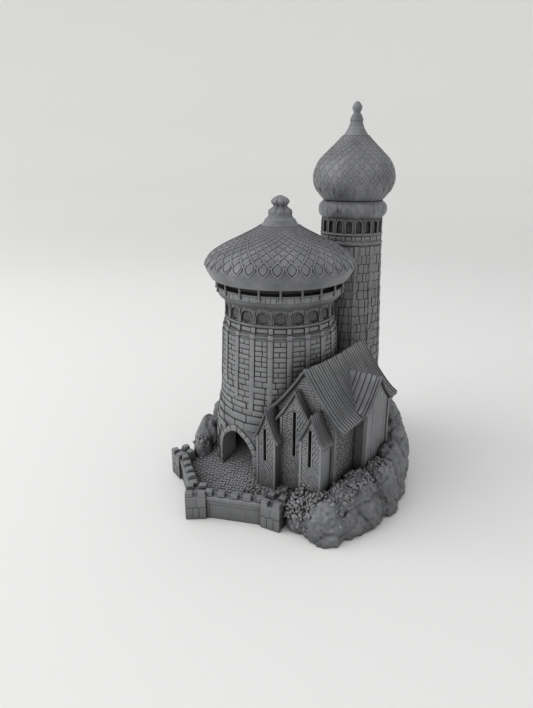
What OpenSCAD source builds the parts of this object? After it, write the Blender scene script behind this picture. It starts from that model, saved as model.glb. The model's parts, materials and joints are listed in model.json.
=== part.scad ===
// Dice tower: a round keep with a lift-off roof, a minaret, a chapel, rocks and a walled court.
// The keep's axis stands at the origin, the court faces -Y, and the table is at z = 0.

/* [Keep] */
// Clear bore that the dice fall through
bore_d = 57; // [54:0.5:58]
// Number of bays round the keep
bays = 20; // [12:2:24]
// Turn of the bays from the +X axis, in degrees
bay_turn = 6.5; // [-10:0.5:10]
// How far the pilasters stand proud of the wall
pilaster_proud = 1; // [0.5:0.1:1.2]
// Height of the parapet's top above the table
parapet_top = 122; // [121:0.5:124]

/* [Doorway] */
// Clear width of the doorway
door_w = 26; // [22:0.5:27]
// Height at which the doorway's arch springs
door_spring = 24; // [20:0.5:26]
// Width of the ring of arch stones
arch_band = 3; // [2:0.25:4]

/* [Dice chute] */
// Fall of the ramps between the keep's walls, in degrees
ramp_fall = 38; // [34:1:40]
// Rise of one tumbling step inside the doorway
step_rise = 6.5; // [5:0.25:7]
// Depth of one tumbling step
step_run = 8; // [7:0.25:9]

/* [Roof] */
// Radius of the roof over its rounded rim
roof_r = 43.6; // [42:0.1:43.8]
// Depth of the spigot that centres the roof in the bore
spigot_h = 9.5; // [6:0.5:12]
// Gap between the lift-off roof and the keep
lid_gap = 0.35; // [0.25:0.05:0.5]

/* [Minaret] */
// Radius of the minaret at the ground
minaret_r = 23.4; // [22:0.1:23.6]
// Largest radius of the onion dome
onion_r = 25.8; // [24:0.1:27]

/* [Court] */
// Distance from the court's centre to the centre of a turret
court_r = 45; // [43:0.5:46]
// Thickness of the court's curtain walls
curtain_t = 6; // [5:0.25:7]
// Width of a square turret
turret_w = 11.5; // [10:0.25:12.5]

/* [Chapel] */
// Turn of the chapel about the keep, in degrees
chapel_turn = 6.5; // [4:0.5:8]
// Thickness of the chapel's roofs
roof_t = 2.4; // [2:0.1:3]

/* [Hidden] */
$fn = 72;

bore_r = bore_d / 2;
plate_h = 4;
court_y = -24;
stone = "dimgray";
dark = "slategray";
light = "gray";

// The keep's outer wall as [height, radius], from the foot up.
keep_wall = [[plate_h, 38.6], [34, 37.8], [45, 36.7], [52, 35.3], [64, 34.1], [97, 32.8], [130, 32.8]];
foot_top = 52;
shaft_top = 97;
string_top = 100;
sill_top = 105;
arcade_top = 113;
cornice_top = 118;
ring_h = 3;
gallery_h = 3.4;
drum_t = 2.6;
ring_z = parapet_top + gallery_h;
deck_top = ring_z + ring_h;
parapet_r = 36.6;
arcade_r = 31.3;
bay = 360 / bays;

// Doorway arch: two arcs whose centres stand apart, which gives the slight point.
arc_offset = 4;
arc_r = door_w / 2 + arc_offset;
arch_proud = 1.6;
chapel_gap = 1.8;

// Court floor: it falls from the doorway to the curtain walls.
floor_fall = 0.36;
floor_door_z = 12.5;
floor_door_y = -38.5;
floor_low_y = floor_door_y - (floor_door_z - plate_h) / floor_fall;
curtain_top = 14;
coping_z = 10.2;
merlon_h = 2.6;
merlon_w = 4.4;
merlon_pitch = 7.4;
turret_top = 14.4;
turret_merlon = 2.4;
step_y = -6;

// Minaret, standing just outside the roof's rim.
minaret_x = 4.1;
minaret_y = 64.1;
minaret_wall = [[0, minaret_r], [62, 22.4], [139, 19]];
minaret_shaft_top = 139;
minaret_string_top = 142;
minaret_arcade_top = 155.2;
cushion_top = 165.4;
minaret_bays = 20;
minaret_turn = -6;

function wall_r(wall, z) = lookup(z, wall);
function wall_pts(wall, z0, z1, grow) = concat(
    [[0, z0], [wall_r(wall, z0) + grow, z0]],
    [for (s = wall) if (s[0] > z0 && s[0] < z1) [s[1] + grow, s[0]]],
    [[wall_r(wall, z1) + grow, z1], [0, z1]]);

// Smooth curve through points p, with n steps between neighbours.
function at(p, i) = p[max(0, min(len(p) - 1, i))];
function smooth(a, b, c, d, t) = 0.5 * ((2 * b) + (c - a) * t + (2 * a - 5 * b + 4 * c - d) * t * t
    + (3 * b - a - 3 * c + d) * t * t * t);
function curve(p, n) = concat(
    [for (i = [0:len(p) - 2]) for (j = [0:n - 1])
        smooth(at(p, i - 1), p[i], p[i + 1], at(p, i + 2), j / n)],
    [p[len(p) - 1]]);

// A gable roof's line from eave to eave: it falls away from the ridge and flattens at the eaves.
bell = 1.3;
slope_steps = 5;
function slope_z(ze, zr, t) = ze + (zr - ze) * pow(t, bell);
function roof_line(pc, half, ze, zr, drop) = concat(
    [for (i = [0:slope_steps])
        [pc - half * (1 - i / slope_steps), slope_z(ze, zr, i / slope_steps) - drop]],
    [for (i = [1:slope_steps])
        [pc + half * i / slope_steps, slope_z(ze, zr, 1 - i / slope_steps) - drop]]);
function reversed(p) = [for (i = [len(p) - 1:-1:0]) p[i]];

// Each gable: middle, half width at the eaves, eave height, ridge height, wall from, wall to.
main_gable = [38.4, 24.6, 58, 86.5, 19.5, 56.8];
main_q = [-30, 31];
main_roof_q = [-32, 34.3];
wing_gable = [5.5, 17, 60, 77, -8, 20];
wing_p = [45, 64];
wing_roof_end = 65.6;
left_gable = [19.6, 8.4, 43.5, 60.8, 12.8, 26];
middle_gable = [35.2, 16.5, 52, 74.6, 25.4, 45];
right_gable = [48.6, 8.4, 50, 66.2, 41.5, 55.2];
gable_front_q = -39.4;
gable_lip = 1.2;
middle_front_q = -34.4;

// Each slit window: middle, foot, head.
left_slit = [18.7, 29.5, 49];
middle_slit = [34.8, 35.5, 62];
right_slit = [47.9, 35.5, 57];
slit_w = 1.7;
slit_depth = 3;

// ---------- shared shapes ----------

module keep_solid(z0, z1, grow = 0) {
    rotate_extrude() polygon(wall_pts(keep_wall, z0, z1, grow));
}

module minaret_solid(z0, z1, grow = 0) {
    translate([minaret_x, minaret_y, 0]) rotate_extrude() polygon(wall_pts(minaret_wall, z0, z1, grow));
}

// A ring round the z axis, turned from the outline [radius, height] between the bore and its face.
module turned_ring(face, inner = bore_r) {
    rotate_extrude() polygon(concat([[inner, face[0][1]]], face, [[inner, face[len(face) - 1][1]]]));
}

module bore(z0, z1) {
    translate([0, 0, z0]) cylinder(r = bore_r, h = z1 - z0);
}

module door_outline(grow) {
    translate([-door_w / 2 - grow, plate_h]) square([door_w + 2 * grow, door_spring - plate_h]);
    translate([0, door_spring]) intersection() {
        translate([-arc_offset, 0]) circle(r = arc_r + grow);
        translate([arc_offset, 0]) circle(r = arc_r + grow);
        translate([-door_w, 0]) square([2 * door_w, door_w]);
    }
}

module through_door(grow = 0) {
    translate([0, -20, 0]) rotate([90, 0, 0]) linear_extrude(25) door_outline(grow);
}

module court_outline(grow) {
    translate([0, court_y]) rotate(30) circle(r = court_r + grow, $fn = 6);
}

// Everything under the sloping floor, drawn as a side view and carried across the court.
module floor_wedge(half_w, back_y, back_z) {
    translate([-half_w, 0, 0]) rotate([90, 0, 90]) linear_extrude(2 * half_w)
        polygon([[floor_low_y, plate_h], [back_y, plate_h], [back_y, back_z],
                 [floor_door_y + (back_z - floor_door_z) / floor_fall, back_z]]);
}

module floor_solid() {
    intersection() {
        linear_extrude(30) court_outline(-curtain_t / 2 / cos(30));
        floor_wedge(40, -20, 15.5);
    }
}

module turret_place(angle) {
    translate([court_r * cos(angle), court_y + court_r * sin(angle), 0]) rotate(angle + 45) children();
}

module turret_block(grow = 0) {
    w = turret_w + 2 * grow;
    translate([-w / 2, -w / 2, 0]) cube([w, w, 30]);
}

module all_turrets(grow = 0) {
    for (a = [-150, -90, -30]) turret_place(a) turret_block(grow);
}

module in_chapel() {
    rotate(chapel_turn) children();
}

// An upright outline in (p, z), carried from q0 to q1.
module along_q(q0, q1) {
    translate([0, q1, 0]) rotate([90, 0, 0]) linear_extrude(q1 - q0) children();
}

// An upright outline in (q, z), carried from p0 to p1.
module along_p(p0, p1) {
    translate([p0, 0, 0]) rotate([90, 0, 90]) linear_extrude(p1 - p0) children();
}

module roof_outline(g) {
    polygon(concat(roof_line(g[0], g[1], g[2], g[3], 0),
                   reversed(roof_line(g[0], g[1], g[2], g[3], roof_t))));
}

module wall_outline(g, base) {
    intersection() {
        polygon(concat([[g[0] - g[1], base]], roof_line(g[0], g[1], g[2], g[3], roof_t),
                       [[g[0] + g[1], base]]));
        translate([g[4], base]) square([g[5] - g[4], g[3]]);
    }
}

module main_walls() {
    along_q(main_q[0], main_q[1]) wall_outline(main_gable, 0);
}

module main_roof_block() {
    along_q(main_roof_q[0], main_roof_q[1]) roof_outline(main_gable);
}

module wing_block() {
    along_p(wing_p[0], wing_p[1]) wall_outline(wing_gable, 0);
}

module wing_roof_block() {
    along_p(wing_p[0], wing_roof_end) roof_outline(wing_gable);
}

module small_gable(g, front_q, back_q) {
    along_q(front_q, back_q) wall_outline(g, 0);
}

module small_gable_roof(g, front_q, back_q) {
    along_q(front_q - gable_lip, back_q) roof_outline(g);
}

module slit(s, front_q) {
    translate([s[0] - slit_w / 2, front_q - 1, s[1]]) cube([slit_w, slit_depth + 1, s[2] - s[1]]);
}

// One rock: a broad foot, a shoulder and a smaller crown, turned by its own angle.
module boulder(x, y, r, top) {
    shoulder = 0.86;
    crown = 0.5;
    translate([x, y, 0]) rotate(37 * x + 11 * y) hull() {
        linear_extrude(0.1) circle(r = r, $fn = 9);
        translate([0, 0, 0.55 * top]) rotate(20) linear_extrude(0.1) circle(r = r * shoulder, $fn = 8);
        translate([r * 0.12, 0, top - 0.1]) linear_extrude(0.1) circle(r = r * crown, $fn = 7);
    }
}

module boulders(list) {
    for (b = list) boulder(b[0], b[1], b[2], b[3]);
}

// What the rocks lie against, drawn plainly.
module castle_core() {
    keep_solid(plate_h, 100, pilaster_proud + 0.1);
    translate([minaret_x, minaret_y, -1]) cylinder(r = minaret_r + 0.1, h = 90);
    in_chapel() {
        translate([main_gable[4], main_q[0], -1])
            cube([main_gable[5] - main_gable[4], main_q[1] - main_q[0], 60]);
        translate([wing_p[0], wing_gable[4], -1])
            cube([wing_p[1] - wing_p[0], wing_gable[5] - wing_gable[4], 60]);
        for (g = [left_gable, middle_gable, right_gable])
            translate([g[4], gable_front_q, -1]) cube([g[5] - g[4], main_q[0] - gable_front_q + 1, 50]);
    }
    translate([0, 0, -1]) linear_extrude(plate_h + 1) plate_outline();
    floor_solid();
    translate([0, 0, -1]) all_turrets(0.1);
    curtain(-120);
    curtain(-60);
}

// ---------- court ----------

module plate_outline() {
    court_outline(curtain_t / 2 / cos(30));
    circle(r = 40);
}

module base_plate() {
    color(stone) difference() {
        linear_extrude(plate_h) plate_outline();
        translate([0, 0, -1]) all_turrets();
    }
}

module courtyard_floor() {
    color(dark) difference() {
        floor_solid();
        keep_solid(plate_h, 40);
        all_turrets();
    }
}

// One curtain wall: a recessed panel, a coping and a row of merlons.
module curtain(angle) {
    apothem = court_r * cos(30);
    recess = 0.8;
    translate([0, court_y, 0]) rotate(angle) difference() {
        union() {
            translate([apothem - curtain_t / 2, -court_r / 2, plate_h])
                cube([curtain_t - recess, court_r, coping_z - plate_h]);
            translate([apothem - curtain_t / 2, -court_r / 2, coping_z])
                cube([curtain_t, court_r, curtain_top - coping_z]);
            for (i = [-2:2])
                translate([apothem - curtain_t / 2 + 1, i * merlon_pitch - merlon_w / 2, curtain_top])
                    cube([curtain_t - 2, merlon_w, merlon_h]);
        }
        for (s = [-1, 1])
            translate([court_r * cos(30), s * court_r / 2, 0]) rotate(s * 30 + 45) turret_block();
    }
}

module curtain_wall_left() {
    color(stone) curtain(-120);
}

module curtain_wall_right() {
    color(stone) curtain(-60);
}

// A square turret with a merlon on each corner.
module turret(angle) {
    w = turret_w;
    out = (w - merlon_w) / 2;
    color(light) turret_place(angle) {
        translate([-w / 2, -w / 2, 0]) cube([w, w, turret_top]);
        for (x = [-1, 1]) for (y = [-1, 1])
            translate([x * out - merlon_w / 2, y * out - merlon_w / 2, turret_top])
                cube([merlon_w, merlon_w, turret_merlon]);
    }
}

module turret_left() {
    turret(-150);
}

module turret_front() {
    turret(-90);
}

module turret_right() {
    turret(-30);
}

// ---------- keep ----------

module keep_foot() {
    color(stone) difference() {
        keep_solid(plate_h, foot_top);
        bore(plate_h - 1, foot_top + 1);
        through_door();
    }
}

module door_arch() {
    color(light) difference() {
        intersection() {
            keep_solid(plate_h, foot_top, arch_proud);
            through_door(arch_band);
        }
        keep_solid(plate_h - 1, foot_top + 1);
        through_door();
        floor_solid();
    }
}

// The floor that carries the dice out, with the tumbling steps behind it.
module exit_stair() {
    steps = 4;
    z0 = floor_door_z + (step_y - floor_door_y) * floor_fall;
    color(dark) intersection() {
        union() {
            bore(plate_h, foot_top);
            intersection() {
                keep_solid(plate_h, foot_top);
                through_door();
            }
        }
        translate([-40, 0, 0]) rotate([90, 0, 90]) linear_extrude(80) polygon(concat(
            [[floor_low_y, plate_h]],
            [[step_y, z0]],
            [for (i = [0:steps - 1]) for (k = [0, 1])
                [step_y + (i + k) * step_run, z0 + (i + 1) * step_rise]],
            [[40, z0 + steps * step_rise], [40, plate_h]]));
    }
}

module keep_shaft() {
    color(stone) difference() {
        keep_solid(foot_top, shaft_top);
        bore(foot_top - 1, shaft_top + 1);
    }
}

module keep_pilasters() {
    strip_w = 3;
    color(light) intersection() {
        difference() {
            keep_solid(foot_top + 2, shaft_top, pilaster_proud);
            keep_solid(foot_top, shaft_top + 1);
        }
        for (i = [0:bays - 1]) rotate((i + 0.5) * bay + bay_turn)
            translate([25, -strip_w / 2, foot_top]) cube([15, strip_w, shaft_top - foot_top]);
    }
}

// A sloping plate across the bore, falling from the wall at y = side * bore_r to past the middle.
module chute_ramp(side, wall_z) {
    ramp_t = 3;
    past = 2;
    run = bore_r + past;
    drop = run * tan(ramp_fall);
    color(dark) intersection() {
        bore(foot_top, 118);
        translate([-40, 0, 0]) rotate([90, 0, 90]) linear_extrude(80) polygon([
            [side * bore_r * 1.05, wall_z], [-side * past, wall_z - drop],
            [-side * past, wall_z - drop - ramp_t], [side * bore_r * 1.05, wall_z - ramp_t]]);
    }
}

module ramp_lower() {
    chute_ramp(-1, 87);
}

module ramp_upper() {
    chute_ramp(1, 116);
}

module string_course() {
    color(light) turned_ring([[32.9, shaft_top], [33.3, 98], [33.3, 99], [32.7, string_top]]);
}

module arcade_sill() {
    color(stone) turned_ring([[31.6, string_top], [31.6, 103.4], [32.3, 103.8], [32.3, sill_top]]);
}

// The wall of the arcade, with a blind round-headed window in each bay.
module arcade_wall() {
    win_w = 6.8;
    win_spring = 108.5;
    depth = 1.4;
    color(stone) difference() {
        turned_ring([[arcade_r, sill_top], [arcade_r, arcade_top]]);
        for (i = [0:bays - 1]) rotate(i * bay + bay_turn) translate([arcade_r - depth, 0, 0])
            rotate([90, 0, 90]) linear_extrude(5) {
                translate([-win_w / 2, sill_top + 0.6]) square([win_w, win_spring - sill_top - 0.6]);
                translate([0, win_spring]) circle(r = win_w / 2, $fn = 12);
            }
    }
}

module cornice() {
    color(light) turned_ring([[31.8, arcade_top], [32.8, 114.4], [34.2, 115.6], [35.5, 117],
                              [parapet_r - 0.6, cornice_top]]);
}

module parapet() {
    color(stone) turned_ring([[parapet_r - 0.6, cornice_top], [parapet_r, parapet_top]]);
}

module gallery_drum() {
    color(dark) turned_ring([[bore_r + drum_t, parapet_top], [bore_r + drum_t, deck_top]]);
}

module gallery_posts() {
    post_r = 0.95;
    color(light) for (i = [0:bays - 1]) rotate(i * bay + bay_turn)
        translate([parapet_r - post_r, 0, parapet_top]) cylinder(r = post_r, h = gallery_h, $fn = 12);
}

module gallery_ring() {
    color(light) turned_ring([[37.6, ring_z], [37.6, deck_top]], bore_r + drum_t);
}

// ---------- lift-off roof ----------

module roof_dome() {
    seat_z = deck_top + lid_gap;
    collar_z = 158;
    inner = 38.9;
    rim = [[39.6, 126], [41.8, 128.6], [roof_r - 0.4, 131], [roof_r, 133.4], [42.6, 136.4], [39.4, 140.2],
           [32.6, 144.7], [23.4, 149.2], [14.9, 153.6], [8.6, collar_z]];
    color(stone) rotate_extrude()
        polygon(concat(curve(rim, 2), [[0, collar_z], [0, seat_z], [inner, seat_z], [inner, 126]]));
}

module roof_spigot() {
    spigot_t = 2.2;
    color(dark) translate([0, 0, deck_top + lid_gap - spigot_h]) difference() {
        cylinder(r = bore_r - lid_gap, h = spigot_h);
        translate([0, 0, -1]) cylinder(r = bore_r - lid_gap - spigot_t, h = spigot_h + 2);
    }
}

module roof_finial() {
    knob = [[8.6, 158], [6.8, 159.2], [6.5, 162], [5.2, 163.6], [4.2, 165], [5.1, 167.2],
            [4.4, 169.4], [2, 170.6], [0, 170.9]];
    color(light) rotate_extrude() polygon(concat([[0, 158]], curve(knob, 2)));
}

// ---------- minaret ----------

module at_minaret() {
    translate([minaret_x, minaret_y, 0]) children();
}

module minaret_shaft() {
    color(stone) minaret_solid(0, minaret_shaft_top);
}

module minaret_pilasters() {
    strip_w = 2;
    proud = 0.8;
    strips = 12;
    foot_z = 40;
    color(light) difference() {
        intersection() {
            minaret_solid(foot_z, minaret_shaft_top, proud);
            at_minaret() for (i = [0:strips - 1]) rotate((i + 0.5) * 360 / strips)
                translate([10, -strip_w / 2, foot_z]) cube([16, strip_w, minaret_shaft_top - foot_z]);
        }
        minaret_solid(foot_z - 1, minaret_shaft_top + 0.5);
    }
}

module minaret_string() {
    color(light) at_minaret() turned_ring([[19, minaret_shaft_top], [19.8, 139.8], [19.8, 141],
                                           [19.2, minaret_string_top]], 0);
}

module minaret_arcade() {
    win_w = 4;
    spring = 152.4;
    low = 146.4;
    depth = 1.1;
    wall = 18.6;
    color(stone) at_minaret() difference() {
        turned_ring([[18.8, minaret_string_top], [18.8, 145], [19.5, 145.4], [19.5, 146.2], [wall, 146.2],
                     [wall, minaret_arcade_top]], 0);
        for (i = [0:minaret_bays - 1]) rotate(i * 360 / minaret_bays + minaret_turn)
            translate([wall - depth, 0, 0])
            rotate([90, 0, 90]) linear_extrude(5)
                polygon([[-win_w / 2, low], [win_w / 2, low], [win_w / 2, spring],
                         [0, spring + 2.2], [-win_w / 2, spring]]);
    }
}

module minaret_cushion() {
    swell = [[18.7, minaret_arcade_top], [20.2, 157.4], [21.4, 160], [21.1, 163], [18.3, cushion_top]];
    color(light) at_minaret() rotate_extrude()
        polygon(concat([[0, minaret_arcade_top]], curve(swell, 3), [[0, cushion_top]]));
}

module onion_dome() {
    neck_z = 207.3;
    swell = [[18.3, cushion_top], [22.6, 170.2], [24.9, 174], [onion_r, 178.6], [25, 183.6], [22.2, 189.1],
             [17.6, 194], [12.4, 198.8], [8, 203.2], [4.9, neck_z]];
    color(stone) at_minaret() rotate_extrude()
        polygon(concat([[0, cushion_top]], curve(swell, 2), [[0, neck_z]]));
}

module onion_finial() {
    tip = [[4.9, 207.3], [3.9, 209.8], [3.6, 212], [3.1, 214.4], [2, 216], [3, 218.4],
           [2.2, 220.6], [0, 222.3]];
    color(light) at_minaret() rotate_extrude() polygon(concat([[0, 207.3]], curve(tip, 2)));
}

// ---------- chapel ----------

module chapel_walls() {
    color(stone) difference() {
        in_chapel() main_walls();
        keep_solid(-1, 130, chapel_gap);
        translate([0, 0, -1]) linear_extrude(plate_h + 1) plate_outline();
        floor_solid();
    }
}

module chapel_roof() {
    color(dark) difference() {
        in_chapel() difference() {
            main_roof_block();
            wing_block();
            wing_roof_block();
        }
        keep_solid(50, 130, chapel_gap);
    }
}

module wing_walls() {
    color(stone) in_chapel() difference() {
        wing_block();
        main_walls();
    }
}

module wing_roof() {
    color(dark) in_chapel() difference() {
        wing_roof_block();
        main_walls();
    }
}

// Small gables stand on the court's floor or on rock, in front of the chapel.
module gable_walls(g, window, front_q, neighbour) {
    color(stone) difference() {
        in_chapel() difference() {
            small_gable(g, front_q, main_q[0]);
            slit(window, front_q);
            if (neighbour) {
                small_gable(middle_gable, middle_front_q, main_q[0] + 1);
                small_gable_roof(middle_gable, middle_front_q, main_q[0] + 1);
            }
        }
        keep_solid(-1, 130, chapel_gap);
        translate([0, 0, -1]) linear_extrude(plate_h + 1) plate_outline();
        floor_solid();
    }
}

module gable_roof(g, front_q, neighbour) {
    color(dark) difference() {
        in_chapel() difference() {
            small_gable_roof(g, front_q, main_q[0]);
            main_roof_block();
            if (neighbour) {
                small_gable(middle_gable, middle_front_q, main_q[0] + 1);
                small_gable_roof(middle_gable, middle_front_q, main_q[0] + 1);
            }
        }
        keep_solid(30, 130, chapel_gap);
    }
}

module gable_left_walls() {
    gable_walls(left_gable, left_slit, gable_front_q, true);
}

module gable_left_roof() {
    gable_roof(left_gable, gable_front_q, true);
}

module gable_middle_walls() {
    gable_walls(middle_gable, middle_slit, middle_front_q, false);
}

module gable_middle_roof() {
    gable_roof(middle_gable, middle_front_q, false);
}

module gable_right_walls() {
    gable_walls(right_gable, right_slit, gable_front_q, true);
}

module gable_right_roof() {
    gable_roof(right_gable, gable_front_q, true);
}

// ---------- rocks ----------

module rocks(list, rim) {
    color(dark) difference() {
        boulders(list);
        castle_core();
        boulders(rim);
    }
}

front_list = [[50, -38, 9, 16], [64, -35, 12, 22], [67, -24, 12, 25], [50, -27, 13, 29]];
side_list = [[69, -11, 14, 27], [69, 6, 14, 28], [64, 23, 14, 31]];
corner_list = [[58, 38, 14, 34], [47, 51, 16, 40], [32, 50, 15, 44]];
back_list = [[30, 76, 15, 33], [8, 82, 16, 32], [-16, 76, 16, 34], [-26, 56, 16, 37], [-12, 42, 14, 40]];
left_list = [[-36, 36, 13, 35], [-40, 16, 13, 35], [-41, -5, 14, 34], [-39, -23, 13, 31], [-32, -35, 8, 22]];

module rocks_front() {
    rocks(front_list, []);
}

module rocks_side() {
    rocks(side_list, front_list);
}

module rocks_corner() {
    rocks(corner_list, side_list);
}

module rocks_back() {
    rocks(back_list, corner_list);
}

module rocks_left() {
    rocks(left_list, back_list);
}

base_plate();
courtyard_floor();
curtain_wall_left();
curtain_wall_right();
turret_left();
turret_front();
turret_right();
keep_foot();
door_arch();
exit_stair();
keep_shaft();
keep_pilasters();
ramp_lower();
ramp_upper();
string_course();
arcade_sill();
arcade_wall();
cornice();
parapet();
gallery_drum();
gallery_posts();
gallery_ring();
roof_dome();
roof_spigot();
roof_finial();
minaret_shaft();
minaret_pilasters();
minaret_string();
minaret_arcade();
minaret_cushion();
onion_dome();
onion_finial();
chapel_walls();
chapel_roof();
wing_walls();
wing_roof();
gable_left_walls();
gable_left_roof();
gable_middle_walls();
gable_middle_roof();
gable_right_walls();
gable_right_roof();
rocks_front();
rocks_side();
rocks_corner();
rocks_back();
rocks_left();
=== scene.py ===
import json
import math
import random

import bpy
from mathutils import Matrix, Vector, noise
from mathutils.bvhtree import BVHTree


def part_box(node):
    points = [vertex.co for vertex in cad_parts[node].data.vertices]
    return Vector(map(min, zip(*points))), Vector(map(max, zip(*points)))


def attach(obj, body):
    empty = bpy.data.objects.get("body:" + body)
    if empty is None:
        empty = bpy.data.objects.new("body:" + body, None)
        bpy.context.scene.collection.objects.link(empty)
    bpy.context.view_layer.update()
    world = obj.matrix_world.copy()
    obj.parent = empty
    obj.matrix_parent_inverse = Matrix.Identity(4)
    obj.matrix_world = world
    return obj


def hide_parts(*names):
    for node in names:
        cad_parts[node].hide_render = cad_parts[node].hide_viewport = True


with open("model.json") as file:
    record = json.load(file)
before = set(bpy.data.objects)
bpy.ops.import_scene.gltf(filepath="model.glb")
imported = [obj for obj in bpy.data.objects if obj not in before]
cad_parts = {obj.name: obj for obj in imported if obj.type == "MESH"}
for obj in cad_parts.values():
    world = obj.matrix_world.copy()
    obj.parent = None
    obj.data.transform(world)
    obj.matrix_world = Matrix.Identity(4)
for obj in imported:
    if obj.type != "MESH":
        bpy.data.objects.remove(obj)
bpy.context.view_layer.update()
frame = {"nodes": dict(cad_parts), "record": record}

bl_info = {
    "name": "Printed Dice Tower",
    "version": (1, 0, 0),
    "blender": (4, 5, 0),
    "location": "View3D > Sidebar > Dice Tower",
    "description": "Models the stonework, roofs and rocks of a printed dice tower round its frame",
    "category": "Add Mesh",
}

MM = 0.001          # everything is modelled in millimetres and brought to metres when it is finished


# ---------------------------------------------------------------- places taken from the frame

def span(*nodes):
    """Lowest and highest corners of some frame nodes together, in millimetres."""
    corners = [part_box(node) for node in nodes]
    low = Vector(min(c[0][i] for c in corners) for i in range(3)) / MM
    high = Vector(max(c[1][i] for c in corners) for i in range(3)) / MM
    return low, high


def radius_of(node):
    """Radius of a frame node that is turned about an upright axis."""
    low, high = span(node)
    return (high.x - low.x) / 2


BAYS = 20
BAY = 2 * math.pi / BAYS
BAY_TURN = math.radians(6.5)
MINARET_TURN = math.radians(-6)
FOOT_LOW, FOOT_HIGH = span("keep_foot")
SHAFT_LOW, SHAFT_HIGH = span("keep_shaft")
ARCADE_LOW, ARCADE_HIGH = span("arcade_wall")
PARAPET_LOW, PARAPET_HIGH = span("parapet")
ROOF_LOW, ROOF_HIGH = span("roof_dome")
ONION_LOW, ONION_HIGH = span("onion_dome")
MINARET = (ONION_LOW + ONION_HIGH) / 2
COURT_Y = -24.0     # centre of the six-sided court
COURT_R = 45.0      # from that centre to the middle of a turret
CHAPEL_TURN = math.radians(6.5)


def keep_radius(z):
    """Radius of the keep's wall at a height."""
    steps = ((4, 38.6), (34, 37.8), (45, 36.7), (52, 35.3), (64, 34.1), (97, 32.8), (140, 32.8))
    return along(steps, z)


def minaret_radius(z):
    """Radius of the minaret's wall at a height."""
    return along(((0, 23.4), (62, 22.4), (139, 19.0), (200, 19.0)), z)


def along(steps, x):
    """Value at x on a line through (x, value) pairs."""
    for (x0, y0), (x1, y1) in zip(steps, steps[1:]):
        if x <= x1:
            return y0 + (y1 - y0) * max(0.0, (x - x0)) / (x1 - x0)
    return steps[-1][1]


def smooth_line(points, n):
    """A smooth line through points, with n steps between neighbours."""
    last = len(points) - 1
    line = []
    for i in range(last):
        a, b, c, d = (Vector(points[max(0, min(last, i + k))]) for k in (-1, 0, 1, 2))
        for j in range(n):
            t = j / n
            line.append(0.5 * ((2 * b) + (c - a) * t + (2 * a - 5 * b + 4 * c - d) * t * t
                               + (3 * b - a - 3 * c + d) * t ** 3))
    line.append(Vector(points[-1]))
    return line


# ---------------------------------------------------------------- modelling by hand

def clear():
    """Deselects everything."""
    if bpy.context.object and bpy.context.object.mode != "OBJECT":
        bpy.ops.object.mode_set(mode="OBJECT")
    bpy.ops.object.select_all(action="DESELECT")


def pick(piece):
    """Makes a piece the one that the next operator works on."""
    clear()
    piece.select_set(True)
    bpy.context.view_layer.objects.active = piece


def edit(piece, mode="FACE", chosen=None):
    """Enters edit mode with the faces (or edges, or vertices) chosen by a test selected."""
    pick(piece)
    bpy.ops.object.mode_set(mode="EDIT")
    bpy.ops.mesh.select_mode(type=mode)
    bpy.ops.mesh.select_all(action="DESELECT" if chosen else "SELECT")
    if chosen:
        bpy.ops.object.mode_set(mode="OBJECT")
        items = {"FACE": piece.data.polygons, "EDGE": piece.data.edges, "VERT": piece.data.vertices}[mode]
        for item in items:
            item.select = chosen(item)
        bpy.ops.object.mode_set(mode="EDIT")


def done():
    """Leaves edit mode."""
    bpy.ops.object.mode_set(mode="OBJECT")
    return bpy.context.object


def block(size, at=(0, 0, 0), bevel=0.0):
    """A block with its edges eased."""
    clear()
    bpy.ops.mesh.primitive_cube_add(size=1)
    piece = bpy.context.object
    piece.data.transform(Matrix.Translation(at) @ Matrix.Diagonal((*size, 1)))
    if bevel:
        edit(piece)
        bpy.ops.mesh.bevel(offset=bevel, segments=1, affect="EDGES")
        done()
    return piece


def turned(outline, steps=144):
    """A shape turned about the upright axis from an outline of (radius, height) points."""
    clear()
    bpy.ops.mesh.primitive_plane_add(size=1)
    piece = bpy.context.object
    edit(piece, "VERT")
    bpy.ops.mesh.merge(type="CENTER")
    place = Vector((0, 0, 0))
    for i, (r, z) in enumerate(outline):
        step = Vector((r, 0, z)) - place
        place = Vector((r, 0, z))
        if i == 0:
            bpy.ops.transform.translate(value=step)
        else:
            bpy.ops.mesh.extrude_region_move(TRANSFORM_OT_translate={"value": step})
    bpy.ops.mesh.select_all(action="SELECT")
    bpy.ops.mesh.spin(steps=steps, angle=2 * math.pi, center=(0, 0, 0), axis=(0, 0, 1))
    bpy.ops.mesh.select_all(action="SELECT")
    bpy.ops.mesh.remove_doubles(threshold=0.002)
    bpy.ops.mesh.normals_make_consistent(inside=False)
    return done()


def spread(pattern, places):
    """Copies of one modelled pattern, each with its own place, joined as one piece."""
    copies = []
    for place in places:
        copy = twin(pattern)
        copy.data.transform(place)
        copies.append(copy)
    bpy.data.objects.remove(pattern)
    return joined(copies)


def twin(piece):
    """A copy of a piece with its own mesh."""
    copy = piece.copy()
    copy.data = piece.data.copy()
    bpy.context.collection.objects.link(copy)
    return copy


def joined(pieces):
    """Several pieces as one."""
    clear()
    for piece in pieces:
        piece.select_set(True)
    bpy.context.view_layer.objects.active = pieces[0]
    if len(pieces) > 1:
        bpy.ops.object.join()
    return bpy.context.object


def shape(piece, rule):
    """Moves each vertex to where rule(place) says."""
    for vertex in piece.data.vertices:
        vertex.co = rule(vertex.co.copy())
    piece.data.update()
    return piece


def carve(piece, rule):
    """Moves each vertex along its normal by rule(place), like a sculpting stroke."""
    moves = [(v.co.copy(), v.normal.copy()) for v in piece.data.vertices]
    for vertex, (place, normal) in zip(piece.data.vertices, moves):
        vertex.co = place + normal * rule(place)
    piece.data.update()
    return piece


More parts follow.
